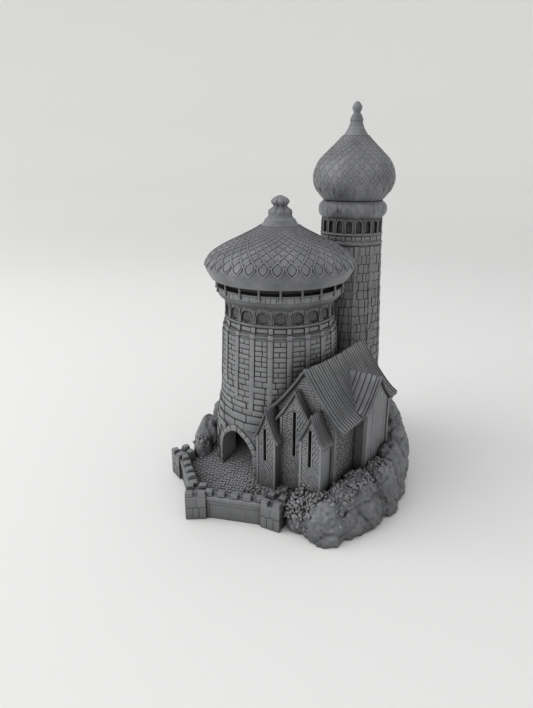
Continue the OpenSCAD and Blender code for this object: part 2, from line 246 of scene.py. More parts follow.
def finished(piece, name, body, slot, replaces=(), smooth=35):
    """Names a piece, brings it to metres, gives its finish and lets it ride on its body."""
    pick(piece)
    piece.name = name
    piece.data.name = name
    piece.data.transform(Matrix.Scale(MM, 4))
    bpy.ops.object.shade_smooth_by_angle(angle=math.radians(smooth))
    piece.data.materials.clear()
    piece.data.materials.append(finish_of(slot))
    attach(piece, body)
    if replaces:
        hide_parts(*replaces)
    return piece


def on_wall(angle, r, z, size=(1, 1, 1), tilt=0.0):
    """Place of a block on a round wall: its depth runs outwards, its width round the wall."""
    return (Matrix.Rotation(angle, 4, "Z") @ Matrix.Translation((r, 0, z)) @ Matrix.Rotation(tilt, 4, "X")
            @ Matrix.Diagonal((*size, 1)))


def chapel_place(matrix=None):
    """Place in the chapel's own p, q, z axes."""
    turn = Matrix.Rotation(CHAPEL_TURN, 4, "Z")
    return turn @ matrix if matrix else turn


# ---------------------------------------------------------------- finishes

def linear(hex_value):
    """An sRGB hex colour as linear red, green, blue and alpha."""
    parts = [int(hex_value[i:i + 2], 16) / 255 for i in (1, 3, 5)]
    return (*[c / 12.92 if c <= 0.04045 else ((c + 0.055) / 1.055) ** 2.4 for c in parts], 1.0)


def add(tree, kind, settings=None, **links):
    """Adds a node with its settings, its socket values and its links."""
    node = tree.nodes.new(kind)
    for key, value in (settings or {}).items():
        if hasattr(node, key):
            setattr(node, key, value)
        else:
            node.inputs[key].default_value = value
    for socket, source in links.items():
        tree.links.new(source, node.inputs[socket.replace("_", " ")])
    return node


# Grey PLA filament, melted and laid in layers 0.2 mm high: dull, with a faint sheen along the layers.
# The layers are drawn 0.7 mm apart, because real ones are too fine to show.
LAYER_MM = 0.7
FINISHES = {
    # slot: (base, light, dark, roughness, grain in mm, grain depth in mm)
    "print_stone": ("#58595B", "#6A6B6D", "#454648", 0.56, 1.6, 0.12),
    "print_planks": ("#616265", "#717275", "#505154", 0.50, 1.2, 0.07),
    "print_scales": ("#707174", "#808185", "#5E5F63", 0.44, 2.2, 0.03),
    "print_rock": ("#6F7073", "#858688", "#595A5C", 0.58, 1.3, 0.20),
    "print_paving": ("#595A5C", "#6A6B6D", "#48494B", 0.60, 1.2, 0.09),
    # print_plain is the same grey PLA drawn nearly black: painted shade for the plain inner walls, ramps and steps,
    # which lie in shadow.
    "print_plain": ("#222325", "#2C2D2F", "#1B1C1D", 0.58, 2.0, 0.03),
}


def finish_of(slot):
    """The finish named for a record slot, made once."""
    name = "pla_" + slot
    return bpy.data.materials.get(name) or layered_pla(name, *FINISHES[slot])


def layered_pla(name, base, light, dark, roughness, grain_mm, depth_mm):
    """Grey PLA as printed: fine level layers and a little mottling, with painted highlights along the edges and
    painted shade in creases and hollows.
    """
    material = bpy.data.materials.new(name)
    material.use_nodes = True
    tree = material.node_tree
    tree.nodes.clear()
    place = add(tree, "ShaderNodeTexCoord").outputs["Object"]
    layers = add(tree, "ShaderNodeTexWave", {"bands_direction": "Z", "wave_profile": "SIN",
                 "Scale": 0.314 / (LAYER_MM * MM), "Distortion": 0.6, "Detail": 1.0,
                 "Detail Scale": 0.15}, Vector=place)
    mottle = add(tree, "ShaderNodeTexNoise", {"Scale": 1 / (14 * MM), "Detail": 4.0, "Roughness": 0.6},
                 Vector=place)
    grain = add(tree, "ShaderNodeTexNoise", {"Scale": 1 / (grain_mm * MM), "Detail": 3.0,
                "Roughness": 0.55}, Vector=place)
    tone = add(tree, "ShaderNodeValToRGB", Fac=mottle.outputs["Fac"])
    tone.color_ramp.elements[0].position = 0.32
    tone.color_ramp.elements[0].color = linear(dark)
    tone.color_ramp.elements[1].position = 0.68
    tone.color_ramp.elements[1].color = linear(light)
    middle = tone.color_ramp.elements.new(0.5)
    middle.color = linear(base)
    # Painted highlight: edges that stand out, found by their pointiness, are drawn lighter, towards #949597.
    edge = add(tree, "ShaderNodeNewGeometry").outputs["Pointiness"]
    edge_highlight = add(tree, "ShaderNodeMapRange", {"From Min": 0.51, "From Max": 0.60, "To Min": 0.0,
               "To Max": 0.6}, Value=edge)
    highlighted = add(tree, "ShaderNodeMix", {"data_type": "RGBA"})
    tree.links.new(edge_highlight.outputs["Result"], highlighted.inputs[0])
    tree.links.new(tone.outputs["Color"], highlighted.inputs[6])
    highlighted.inputs[7].default_value = linear("#949597")
    # Painted shade: creases, found by their pointiness, are drawn darker.
    crease_shade = add(tree, "ShaderNodeMapRange", {"From Min": 0.40, "From Max": 0.495, "To Min": 0.38,
                  "To Max": 1.0}, Value=edge)
    shaded = add(tree, "ShaderNodeMix", {"data_type": "RGBA", "blend_type": "MULTIPLY"})
    shaded.inputs[0].default_value = 1.0
    tree.links.new(highlighted.outputs[2], shaded.inputs[6])
    tree.links.new(crease_shade.outputs["Result"], shaded.inputs[7])
    # Painted shade: ambient occlusion darkens joints (1.8 mm reach) and deep recesses such as the doorway (22 mm
    # reach); each triple gives reach, darkest tone and strength.
    for reach_mm, darkest_shade, strength in ((1.8, 0.12, 1.0), (22.0, 0.06, 0.9)):
        hollow = add(tree, "ShaderNodeAmbientOcclusion", {"samples": 6, "Distance": reach_mm * MM})
        painted_shade = add(tree, "ShaderNodeMapRange", {"From Min": 0.15, "From Max": 0.85, "To Min": darkest_shade,
                   "To Max": 1.0}, Value=hollow.outputs["AO"])
        deeper = add(tree, "ShaderNodeMix", {"data_type": "RGBA", "blend_type": "MULTIPLY"})
        deeper.inputs[0].default_value = strength
        tree.links.new(shaded.outputs[2], deeper.inputs[6])
        tree.links.new(painted_shade.outputs["Result"], deeper.inputs[7])
        shaded = deeper
    rough = add(tree, "ShaderNodeMapRange", {"To Min": roughness - 0.06, "To Max": roughness + 0.06},
                Value=grain.outputs["Fac"])
    ridges = add(tree, "ShaderNodeBump", {"Strength": 0.55, "Distance": 0.05 * MM},
                 Height=layers.outputs["Fac"])
    bumps = add(tree, "ShaderNodeBump", {"Strength": 0.8, "Distance": depth_mm * MM},
                Height=grain.outputs["Fac"], Normal=ridges.outputs["Normal"])
    shader = add(tree, "ShaderNodeBsdfPrincipled", {"IOR": 1.46, "Metallic": 0.0},
                 Roughness=rough.outputs["Result"], Normal=bumps.outputs["Normal"])
    tree.links.new(shaded.outputs[2], shader.inputs["Base Color"])
    output = add(tree, "ShaderNodeOutputMaterial")
    tree.links.new(shader.outputs["BSDF"], output.inputs["Surface"])
    return material


def finish_frame(*nodes):
    """Gives frame nodes that stay in sight the finish that their slot names."""
    slots = {row["node"]: row["material_slot"] for row in frame["record"]["subparts"]}
    for node in nodes:
        mesh = frame["nodes"][node].data
        mesh.materials.clear()
        mesh.materials.append(finish_of(slots[node]))


# ---------------------------------------------------------------- sizes that a user would change

def length(name, mm, description):
    """A length property, given in millimetres and kept in metres."""
    return bpy.props.FloatProperty(name=name, default=mm * MM, unit="LENGTH", precision=5,
                                   description=description)


class KeepSizes(bpy.types.PropertyGroup):
    """Stonework of the keep."""
    course: length("Brick course", 3.1, "Height of a brick course between the pilasters")
    pilaster_w: length("Pilaster width", 2.9, "Width of a pilaster")
    proud: length("Brick relief", 0.62, "How far the bricks stand proud of the joints")
    post_r: length("Post radius", 0.62, "Radius of a gallery post")


class RoofSizes(bpy.types.PropertyGroup):
    """Scale tiles of the domes."""
    tiles: bpy.props.IntProperty(name="Tiles", default=36, min=12, max=40,
                                 description="Number of tiles in one row round the roof")
    tile_t: length("Tile thickness", 0.6, "How far a tile stands proud of the dome")
    onion_tiles: bpy.props.IntProperty(name="Onion tiles", default=24, min=12, max=40,
                                       description="Number of tiles in one row round the onion dome")


class ChapelSizes(bpy.types.PropertyGroup):
    """Boards and walls of the chapel."""
    board_w: length("Board width", 2.3, "Width of one roof board")
    roof_t: length("Roof thickness", 1.9, "Thickness of a roof")
    sag: length("Ridge sag", 1.3, "How far the main ridge sags in the middle")
    hatch: length("Hatch pitch", 1.5, "Pitch of the hatching on the walls")


class CourtSizes(bpy.types.PropertyGroup):
    """Curtain walls, turrets and paving of the court."""
    cobble: length("Paving stone", 3.4, "Length of one paving stone")
    ease: length("Edge easing", 0.3, "Bevel on the edges of the stones")


class RockSizes(bpy.types.PropertyGroup):
    """The rocks that the castle stands on."""
    lump: length("Lump size", 15.0, "Size of the larger lumps in the rock")
    lump_depth: length("Lump depth", 2.6, "Depth of the clefts between lumps")
    voxel: length("Mesh size", 0.8, "Size of the rock's mesh")


class StageColours(bpy.types.PropertyGroup):
    """Colours of the floor round the tower."""
    floor: bpy.props.FloatVectorProperty(name="Floor", subtype="COLOR", size=4, min=0, max=1,
                                         default=linear("#EDEDEB"), description="Colour of the floor")


def mm(value):
    """A length property in millimetres."""
    return value / MM


# ---------------------------------------------------------------- stone walls

def brick_places(rng, radius, z0, z1, course, low_w, high_w, proud, a0=0.0, a1=2 * math.pi, loose=0.3, skip=None):
    """Places of bricks in courses round a wall between two heights and two angles."""
    places = []
    rows = max(1, round((z1 - z0) / course))
    height = (z1 - z0) / rows
    joint = 0.45
    for row in range(rows):
        z = z0 + (row + 0.5) * height
        r = radius(z)
        angle = a0 - (rng.uniform(0, high_w) / r if a1 - a0 > 6 else 0)
        while angle < a1 - 0.2 * low_w / r:
            width = rng.uniform(low_w, high_w)
            step = min(width / r, a1 - angle) if a1 - a0 < 6 else width / r
            middle = angle + step / 2
            angle += step
            if step * r < 1.2 or (skip and skip(middle, z, r)):
                continue
            depth = 2 * proud * (1 + rng.uniform(-loose, loose))
            tilt = math.radians(rng.uniform(-1.5, 1.5))
            places.append(on_wall(middle, r, z, (depth, step * r - joint, height - joint), tilt))
    return places


def near_door(angle, z, r):
    """Whether a stone would stand in the doorway or on its arch."""
    across = r * math.cos(angle)
    if math.sin(angle) > 0:
        return False
    reach = 17.5
    return abs(across) < reach and z < 23 or math.hypot(across, max(0, z - 24)) < reach + 3


class DICETOWER_OT_keep_stones(bpy.types.Operator):
    """Lay the bricks between the pilasters and the larger stones of the keep's foot"""
    bl_idname = "dicetower.keep_stones"
    bl_label = "Keep stones"

    def execute(self, context):
        sizes = context.scene.dicetower_keep
        rng = random.Random(11)
        proud = mm(sizes.proud)
        half_strip = mm(sizes.pilaster_w) / 2 / 33.5
        panel_low = 73.0
        places = []
        for bay in range(BAYS):
            a = bay * BAY + BAY_TURN
            side = BAY / 2 - half_strip - 0.006
            rows = round((SHAFT_HIGH.z - 0.6 - panel_low) / mm(sizes.course))
            height = (SHAFT_HIGH.z - 0.6 - panel_low) / rows
            for row in range(rows):
                z = panel_low + (row + 0.5) * height
                r = keep_radius(z)
                cut = (0.0, rng.uniform(0.38, 0.62))[row % 2] if rng.random() < 0.85 else rng.uniform(0.3, 0.7)
                ends = [-side, -side + 2 * side * cut, side] if cut else [-side, side]
                for e0, e1 in zip(ends, ends[1:]):
                    depth = 2 * proud * rng.uniform(0.7, 1.15)
                    places.append(on_wall(a + (e0 + e1) / 2, r, z, (depth, (e1 - e0) * r - 0.45, height - 0.45)))
        places += brick_places(rng, keep_radius, 52.0, panel_low, 3.5, 4.5, 8.0, proud * 1.1, loose=0.5)
        places += brick_places(rng, keep_radius, 5.0, 52.0, 4.7, 6.5, 11.5, proud * 1.2, loose=0.5,
                               skip=near_door)
        stones = spread(block((1, 1, 1), bevel=0.09), places)
        finished(stones, "keep_stones", "castle", "print_stone")

        strips = []
        for bay in range(BAYS):
            a = (bay + 0.5) * BAY + BAY_TURN
            z = SHAFT_HIGH.z - 0.1
            low = 56 + rng.uniform(0, 14)
            while z > low:
                height = min(rng.uniform(7, 12), z - low + 3)
                r = keep_radius(z - height / 2)
                lean = math.atan2(keep_radius(z) - keep_radius(z - height), height)
                place = (Matrix.Rotation(a, 4, "Z") @ Matrix.Translation((r + 0.1, 0, z - height / 2))
                         @ Matrix.Rotation(lean, 4, "Y")
                         @ Matrix.Diagonal((2 * rng.uniform(0.8, 1.0), mm(sizes.pilaster_w), height - 0.25, 1)))
                strips.append(place)
                z -= height
        pilasters = spread(block((1, 1, 1), bevel=0.05), strips)
        finished(pilasters, "keep_pilaster_stones", "castle", "print_stone", replaces=["keep_pilasters"])
        return {"FINISHED"}


def arch_frame(width, spring, low, band, depth):
    """A round-headed frame: half a torus with its ends pulled down to the sill."""
    clear()
    bpy.ops.mesh.primitive_torus_add(major_radius=width / 2 + band / 2, minor_radius=band / 2,
                                     major_segments=20, minor_segments=6, rotation=(0, math.pi / 2, 0))
    bpy.ops.object.transform_apply(rotation=True)
    piece = bpy.context.object
    edit(piece, "VERT")
    bpy.ops.mesh.bisect(plane_co=(0, 0, 0), plane_no=(0, 0, 1), clear_inner=True)
    bpy.ops.mesh.select_all(action="DESELECT")
    done()
    edit(piece, "VERT", lambda v: abs(v.co.z) < 0.001)
    bpy.ops.mesh.extrude_region_move(TRANSFORM_OT_translate={"value": (0, 0, low - spring)})
    done()
    piece.data.transform(Matrix.Translation((0, 0, spring)) @ Matrix.Diagonal((depth / band, 1, 1, 1)))
    return piece


class DICETOWER_OT_keep_arcade(bpy.types.Operator):
    """Model the blind windows, columns, sill and string course round the top of the keep"""
    bl_idname = "dicetower.keep_arcade"
    bl_label = "Keep arcade"

    def execute(self, context):
        sizes = context.scene.dicetower_keep
        window = 6.8
        r = radius_of("arcade_wall")
        spring = 108.4
        low, top = ARCADE_LOW.z, ARCADE_HIGH.z
        turns = [Matrix.Rotation(i * BAY + BAY_TURN, 4, "Z") for i in range(BAYS)]
        halves = [Matrix.Rotation((i + 0.5) * BAY + BAY_TURN, 4, "Z") for i in range(BAYS)]
        frames = spread(arch_frame(window, spring, low + 0.4, 0.55, 1.2),
                        [turn @ Matrix.Translation((r - 0.05, 0, 0)) for turn in turns])
        finished(frames, "arcade_frames", "castle", "print_stone")

        bars = []
        for turn in turns:
            for side in (-1, 1):
                for step in range(-3, 4):
                    place = Matrix.Translation((r - 1.1, step * 1.5, spring - 0.2))
                    bars.append(turn @ place @ Matrix.Rotation(side * math.radians(38), 4, "X")
                                @ Matrix.Diagonal((0.5, 0.32, 6.6, 1)))
        lattice = spread(block((1, 1, 1)), bars)
        finished(lattice, "arcade_lattice", "castle", "print_stone")

        column = block((1.5, 1.9, top - low), (r - 0.1, 0, (top + low) / 2), 0.2)
        edit(column)
        bpy.ops.mesh.subdivide(number_cuts=5)
        done()
        shape(column, lambda p: Vector((p.x, p.y * (1 + 0.9 * max(0, (p.z - 110.4) / 2.6) ** 1.6), p.z)))
        columns = spread(column, halves)
        finished(columns, "arcade_columns", "castle", "print_stone")

        sill_low, sill_high = span("arcade_sill")
        string_low, string_high = span("string_course")
        sill_r, string_r = radius_of("arcade_sill"), radius_of("string_course")
        sill = turned([(30, sill_low.z), (sill_r - 1.1, sill_low.z), (sill_r - 1.1, sill_high.z - 2.0),
                       (sill_r - 0.5, sill_high.z - 1.6), (sill_r - 0.1, sill_high.z - 1.2),
                       (sill_r, sill_high.z - 0.7), (sill_r - 0.15, sill_high.z - 0.1),
                       (sill_r - 0.5, sill_high.z), (30, sill_high.z)])
        finished(sill, "arcade_sill_band", "castle", "print_stone", replaces=["arcade_sill"], smooth=50)
        string = turned([(30, string_low.z), (string_r - 0.5, string_low.z), (string_r - 0.4, string_low.z + 0.4),
                         (string_r - 0.2, string_low.z + 0.7), (string_r, string_low.z + 1.1),
                         (string_r, string_low.z + 1.7), (string_r - 0.3, string_low.z + 2.1),
                         (string_r - 0.9, string_low.z + 2.3), (string_r - 1.3, string_high.z), (30, string_high.z)])
        finished(string, "string_band", "castle", "print_stone", replaces=["string_course"], smooth=50)

        width = mm(sizes.pilaster_w)
        posts = [turn @ Matrix.Translation((sill_r - 0.8, 0, sill_low.z + 1.5))
                 @ Matrix.Diagonal((1.7, width * 0.82, 3.6, 1)) for turn in halves]
        posts += [turn @ Matrix.Translation((string_r - 0.7, 0, string_low.z + 1.4))
                  @ Matrix.Diagonal((1.7, width, 2.6, 1)) for turn in halves]
        posts += [turn @ Matrix.Translation((sill_r - 1.1, 0, sill_low.z + 1.6))
                  @ Matrix.Diagonal((0.9, 6.2, 2.2, 1)) for turn in turns]
        finished(spread(block((1, 1, 1), bevel=0.07), posts), "arcade_blocks", "castle", "print_stone")
        return {"FINISHED"}


class DICETOWER_OT_gallery(bpy.types.Operator):
    """Model the cornice, the parapet's stones and the posts under the roof"""
    bl_idname = "dicetower.gallery"
    bl_label = "Gallery"

    def execute(self, context):
        sizes = context.scene.dicetower_keep
        rng = random.Random(23)
        r = radius_of("parapet")
        z0 = ARCADE_HIGH.z
        ledge = PARAPET_LOW.z
        outline = [(30, z0), (31.6, z0), (32.0, z0 + 0.5), (32.1, z0 + 0.9), (33.0, z0 + 1.4), (34.3, z0 + 2.5),
                   (35.5, z0 + 3.8), (35.8, z0 + 4.5), (r - 0.7, ledge + 0.3), (r - 0.4, PARAPET_HIGH.z - 0.7),
                   (r, PARAPET_HIGH.z - 0.6), (r, PARAPET_HIGH.z - 0.1), (r - 0.3, PARAPET_HIGH.z),
                   (30, PARAPET_HIGH.z)]
        cornice = turned(outline)
        finished(cornice, "gallery_cornice", "castle", "print_stone", replaces=["cornice", "parapet"], smooth=45)
        places = brick_places(rng, lambda z: r - 0.62, ledge + 0.1, PARAPET_HIGH.z - 0.8, 3.1, 2.6, 6.4, 0.26)
        finished(spread(block((1, 1, 1), bevel=0.07), places), "parapet_stones", "castle", "print_stone")

        clear()
        post_r = mm(sizes.post_r)
        bottom, top = ledge + 1.2, ROOF_LOW.z + 0.6
        bpy.ops.mesh.primitive_cylinder_add(vertices=10, radius=post_r, depth=top - bottom,
                                            location=(r + 0.1, 0, (top + bottom) / 2))
        bpy.ops.object.transform_apply(location=True)
        post = bpy.context.object
        edit(post, "EDGE", lambda e: abs(post.data.vertices[e.vertices[0]].co.z
                                         - post.data.vertices[e.vertices[1]].co.z) > 1)
        bpy.ops.mesh.subdivide(number_cuts=5)
        done()

        def flare(p):
            share = (p.z - bottom) / (top - bottom)
            grow = 1 + 0.7 * max(0, 1 - share * 5) + 0.6 * max(0, share * 4 - 3)
            return Vector((r + 0.1 + (p.x - r - 0.1) * grow, p.y * grow, p.z))
        posts = spread(shape(post, flare), [Matrix.Rotation(i * BAY + BAY_TURN, 4, "Z") for i in range(BAYS)])
        finished(posts, "gallery_post_shafts", "castle", "print_stone", replaces=["gallery_posts"], smooth=50)
        return {"FINISHED"}


# ---------------------------------------------------------------- domes

def scale_tile():
    """One scale tile: a rounded diamond with a raised rim, a groove and a low boss, one unit wide."""
    clear()
    bpy.ops.mesh.primitive_circle_add(vertices=12, radius=0.5, fill_type="NGON")
    tile = bpy.context.object

    def diamond(p):
        a = math.atan2(p.y, p.x)
        r = 0.5 / (abs(math.cos(a)) ** 1.5 + abs(math.sin(a)) ** 1.5) ** (1 / 1.5)
        return Vector((r * math.cos(a), 1.2 * r * math.sin(a), -0.3))
    shape(tile, diamond)
    edit(tile)
    bpy.ops.mesh.extrude_region_move(TRANSFORM_OT_translate={"value": (0, 0, 1.3)})
    for inset, lift in ((0.06, 0.0), (0.05, -0.9), (0.07, 0.55)):
        bpy.ops.mesh.inset(thickness=inset)
        bpy.ops.transform.translate(value=(0, 0, lift))
    return done()


def dome_path(line):
    """A dome's line as a rule from (length along it, height over it) to a point, and its whole length."""
    lengths = [0.0]
    for a, b in zip(line, line[1:]):
        lengths.append(lengths[-1] + (b - a).length)

    def point(s, over):
        k = next((i for i in range(1, len(lengths)) if lengths[i] >= s), len(lengths) - 1)
        a, b = line[k - 1], line[k]
        run = (b - a).normalized()
        return a.lerp(b, (s - lengths[k - 1]) / (b - a).length) + over * Vector((run.y, -run.x))
    return point, lengths[-1]


def tiled(line, count, first, last, thick, name, body, slot, at=Matrix()):
    """Covers a dome with rows of scale tiles: each row's tile is bent to the dome and repeated round it."""
    point, total = dome_path(line)
    tile = scale_tile()
    rows, s = [], first
    while s < total - last:
        width = 2 * math.pi * point(s, 0).x / count

        def bend(p):
            spot = point(s + p.y * width, p.z * min(thick, width * 0.16))
            angle = (0.94 * p.x + 0.5 * (len(rows) % 2)) * 2 * math.pi / count
            return Vector((spot.x * math.cos(angle), spot.x * math.sin(angle), spot.y))
        places = [at @ Matrix.Rotation(2 * math.pi * i / count, 4, "Z") for i in range(count)]
        rows.append(spread(shape(twin(tile), bend), places))
        s += 0.6 * width
    bpy.data.objects.remove(tile)
    return finished(joined(rows), name, body, slot, smooth=30)


class DICETOWER_OT_roof(bpy.types.Operator):
    """Turn the keep's domed roof and its finial, and cover the roof with scale tiles"""
    bl_idname = "dicetower.roof"
    bl_label = "Roof"

    def execute(self, context):
        sizes = context.scene.dicetower_roof
        r = radius_of("roof_dome") - 1.0
        z0, z1 = ROOF_LOW.z, ROOF_HIGH.z
        seat = span("roof_spigot")[1].z
        rim = [(39.2, z0), (40.4, z0 + 1.9), (r - 0.8, z0 + 4.4), (r, z0 + 7.1), (41.7, z0 + 10.0), (38.4, z0 + 13.7),
               (31.4, z0 + 18.0), (22.0, z0 + 22.5), (13.8, z0 + 26.9), (9.9, z0 + 29.7), (8.5, z1)]
        line = smooth_line(rim, 7)
        dome = turned([(0, seat), (38.9, seat), (38.9, z0 + 0.3)] + [tuple(p) for p in line] + [(0, z1)], 168)
        finished(dome, "roof_shell", "roof", "print_scales", replaces=["roof_dome"], smooth=50)
        tiled(line, sizes.tiles, 12.0, 5.0, mm(sizes.tile_t), "roof_tiles", "roof", "print_scales")

        low, high = span("roof_finial")
        knob = [(8.5, low.z), (7.1, low.z + 1.2), (6.7, low.z + 2.2), (6.8, low.z + 3.8), (6.4, low.z + 5.0),
                (4.9, low.z + 6.1), (3.8, low.z + 7.1), (4.4, low.z + 8.0), (5.2, low.z + 9.2),
                (5.0, low.z + 10.2), (3.6, low.z + 11.5), (2.2, low.z + 12.2), (1.2, high.z - 0.3), (0, high.z)]
        finial = turned([(0, low.z)] + [tuple(p) for p in smooth_line(knob, 4)], 96)

        def ribbed(p):
            depth = 0.16 * max(0.0, min(1.0, (p.z - low.z - 2) / 3))
            lobe = abs(math.cos(4 * math.atan2(p.y, p.x))) ** 0.7
            return Vector((*(p.xy * (1 - depth * (1 - lobe))), p.z))
        finished(shape(finial, ribbed), "roof_knob", "roof", "print_scales", replaces=["roof_finial"], smooth=60)
        return {"FINISHED"}


# ---------------------------------------------------------------- plates, frames and cuts

def plate(outline, depth, band=0.0):
    """An upright plate from an outline of (across, height) points, or only a band along its edge."""
    clear()
    bpy.ops.mesh.primitive_circle_add(vertices=len(outline), radius=1, fill_type="NGON")
    piece = bpy.context.object
    for vertex, (across, height) in zip(piece.data.vertices, outline):
        vertex.co = (0, across, height)
    edit(piece)
    if band:
        bpy.ops.mesh.inset(thickness=band)
        bpy.ops.mesh.delete(type="FACE")
        bpy.ops.mesh.select_all(action="SELECT")
    bpy.ops.mesh.extrude_region_move(TRANSFORM_OT_translate={"value": (depth, 0, 0)})
    done()
    return outward(piece)


def outward(piece):
    """Turns a piece's faces outwards."""
    edit(piece)
    bpy.ops.mesh.normals_make_consistent(inside=False)
    return done()


def cut_by(piece, cutter):
    """Cuts one piece away from another."""
    pick(piece)
    cut = piece.modifiers.new("cut", "BOOLEAN")
    cut.operation, cut.solver, cut.object = "DIFFERENCE", "EXACT", cutter
    bpy.ops.object.modifier_apply(modifier=cut.name)
    bpy.data.objects.remove(cutter)
    return piece


def pointed(width, low, spring, rise, steps=5):
    """Outline of a pointed window, from its left foot by its right foot and its head."""
    r = (width ** 2 / 4 + rise ** 2) / width
    top = math.acos((r - width / 2) / r)
    right = [(r * math.cos(top * i / steps) - r + width / 2, spring + r * math.sin(top * i / steps))
             for i in range(steps + 1)]
    return [(-width / 2, low), (width / 2, low)] + right + [(-x, z) for x, z in reversed(right[:-1])]


# ---------------------------------------------------------------- minaret

def at_minaret(matrix=None):
    """Place about the minaret's axis."""
    axis = Matrix.Translation((MINARET.x, MINARET.y, 0))
    return axis @ matrix if matrix else axis


class DICETOWER_OT_minaret(bpy.types.Operator):
    """Lay the minaret's bricks and strips, and model its arcade of pointed windows"""
    bl_idname = "dicetower.minaret"
    bl_label = "Minaret"

    def execute(self, context):
        rng = random.Random(31)
        top = span("minaret_shaft")[1].z
        places = brick_places(rng, minaret_radius, 20, top - 0.4, 5.5, 2.2, 4.4, 0.36, loose=0.6)
        stones = spread(block((1, 1, 1), bevel=0.08), [at_minaret(place) for place in places])
        finished(stones, "minaret_stones", "castle", "print_stone")

        strips, count = [], 12
        for i in range(count):
            z = top
            while z > 42:
                height = min(rng.uniform(6, 11), z - 38)
                r = minaret_radius(z - height / 2)
                place = on_wall((i + 0.5) * 2 * math.pi / count, r + 0.05, z - height / 2,
                                (2 * rng.uniform(0.68, 0.85), 2.0, height - 0.25))
                strips.append(at_minaret(place))
                z -= height
        finished(spread(block((1, 1, 1), bevel=0.06), strips), "minaret_strips", "castle", "print_stone",
                 replaces=["minaret_pilasters"])

        low, high = span("minaret_string")
        r = (high.x - low.x) / 2
        z = low.z
        band = turned([(15, z), (r - 1.2, z), (r - 0.4, z + 0.3), (r, z + 0.8), (r, z + 1.8), (r - 0.4, z + 2.2),
                       (r - 1.0, high.z), (15, high.z)])
        band.data.transform(at_minaret())
        finished(band, "minaret_string_band", "castle", "print_stone", replaces=["minaret_string"], smooth=50)

        low, high = span("minaret_arcade")
        wall, spring, foot, width = 18.6, 152.2, 146.3, 4.0
        turns = [Matrix.Rotation(i * BAY + MINARET_TURN, 4, "Z") for i in range(BAYS)]
        halves = [Matrix.Rotation((i + 0.5) * BAY + MINARET_TURN, 4, "Z") for i in range(BAYS)]
        frame_place = Matrix.Translation((wall - 0.3, 0, 0))
        frames = spread(plate(pointed(width + 0.7, foot, spring, 2.6), 0.85, band=0.4),
                        [at_minaret(turn @ frame_place) for turn in turns])
        finished(frames, "minaret_window_frames", "castle", "print_stone")
        column = block((1.0, 0.8, high.z - foot), (wall + 0.05, 0, (high.z + foot) / 2), 0.12)
        edit(column)
        bpy.ops.mesh.subdivide(number_cuts=5)
        done()
        shape(column, lambda p: Vector((p.x, p.y * (1 + 1.2 * max(0, (p.z - 152.6) / 2.5) ** 1.5), p.z)))
        finished(spread(column, [at_minaret(turn) for turn in halves]), "minaret_columns", "castle", "print_stone")
        sill = turned([(17, 144.9), (18.9, 144.9), (19.5, 145.3), (19.7, 145.8), (19.4, 146.3), (17, 146.5)])
        sill.data.transform(at_minaret())
        finished(sill, "minaret_sill_band", "castle", "print_stone", smooth=50)
        blocks = [at_minaret(turn @ Matrix.Translation((18.9, 0, 143.5)) @ Matrix.Diagonal((1.0, 1.4, 2.8, 1)))
                  for turn in halves]
        blocks += [at_minaret(turn @ Matrix.Translation((18.7, 0, 143.6)) @ Matrix.Diagonal((0.7, 3.5, 2.0, 1)))
                   for turn in turns]
        finished(spread(block((1, 1, 1), bevel=0.07), blocks), "minaret_sill_blocks", "castle", "print_stone")
        return {"FINISHED"}


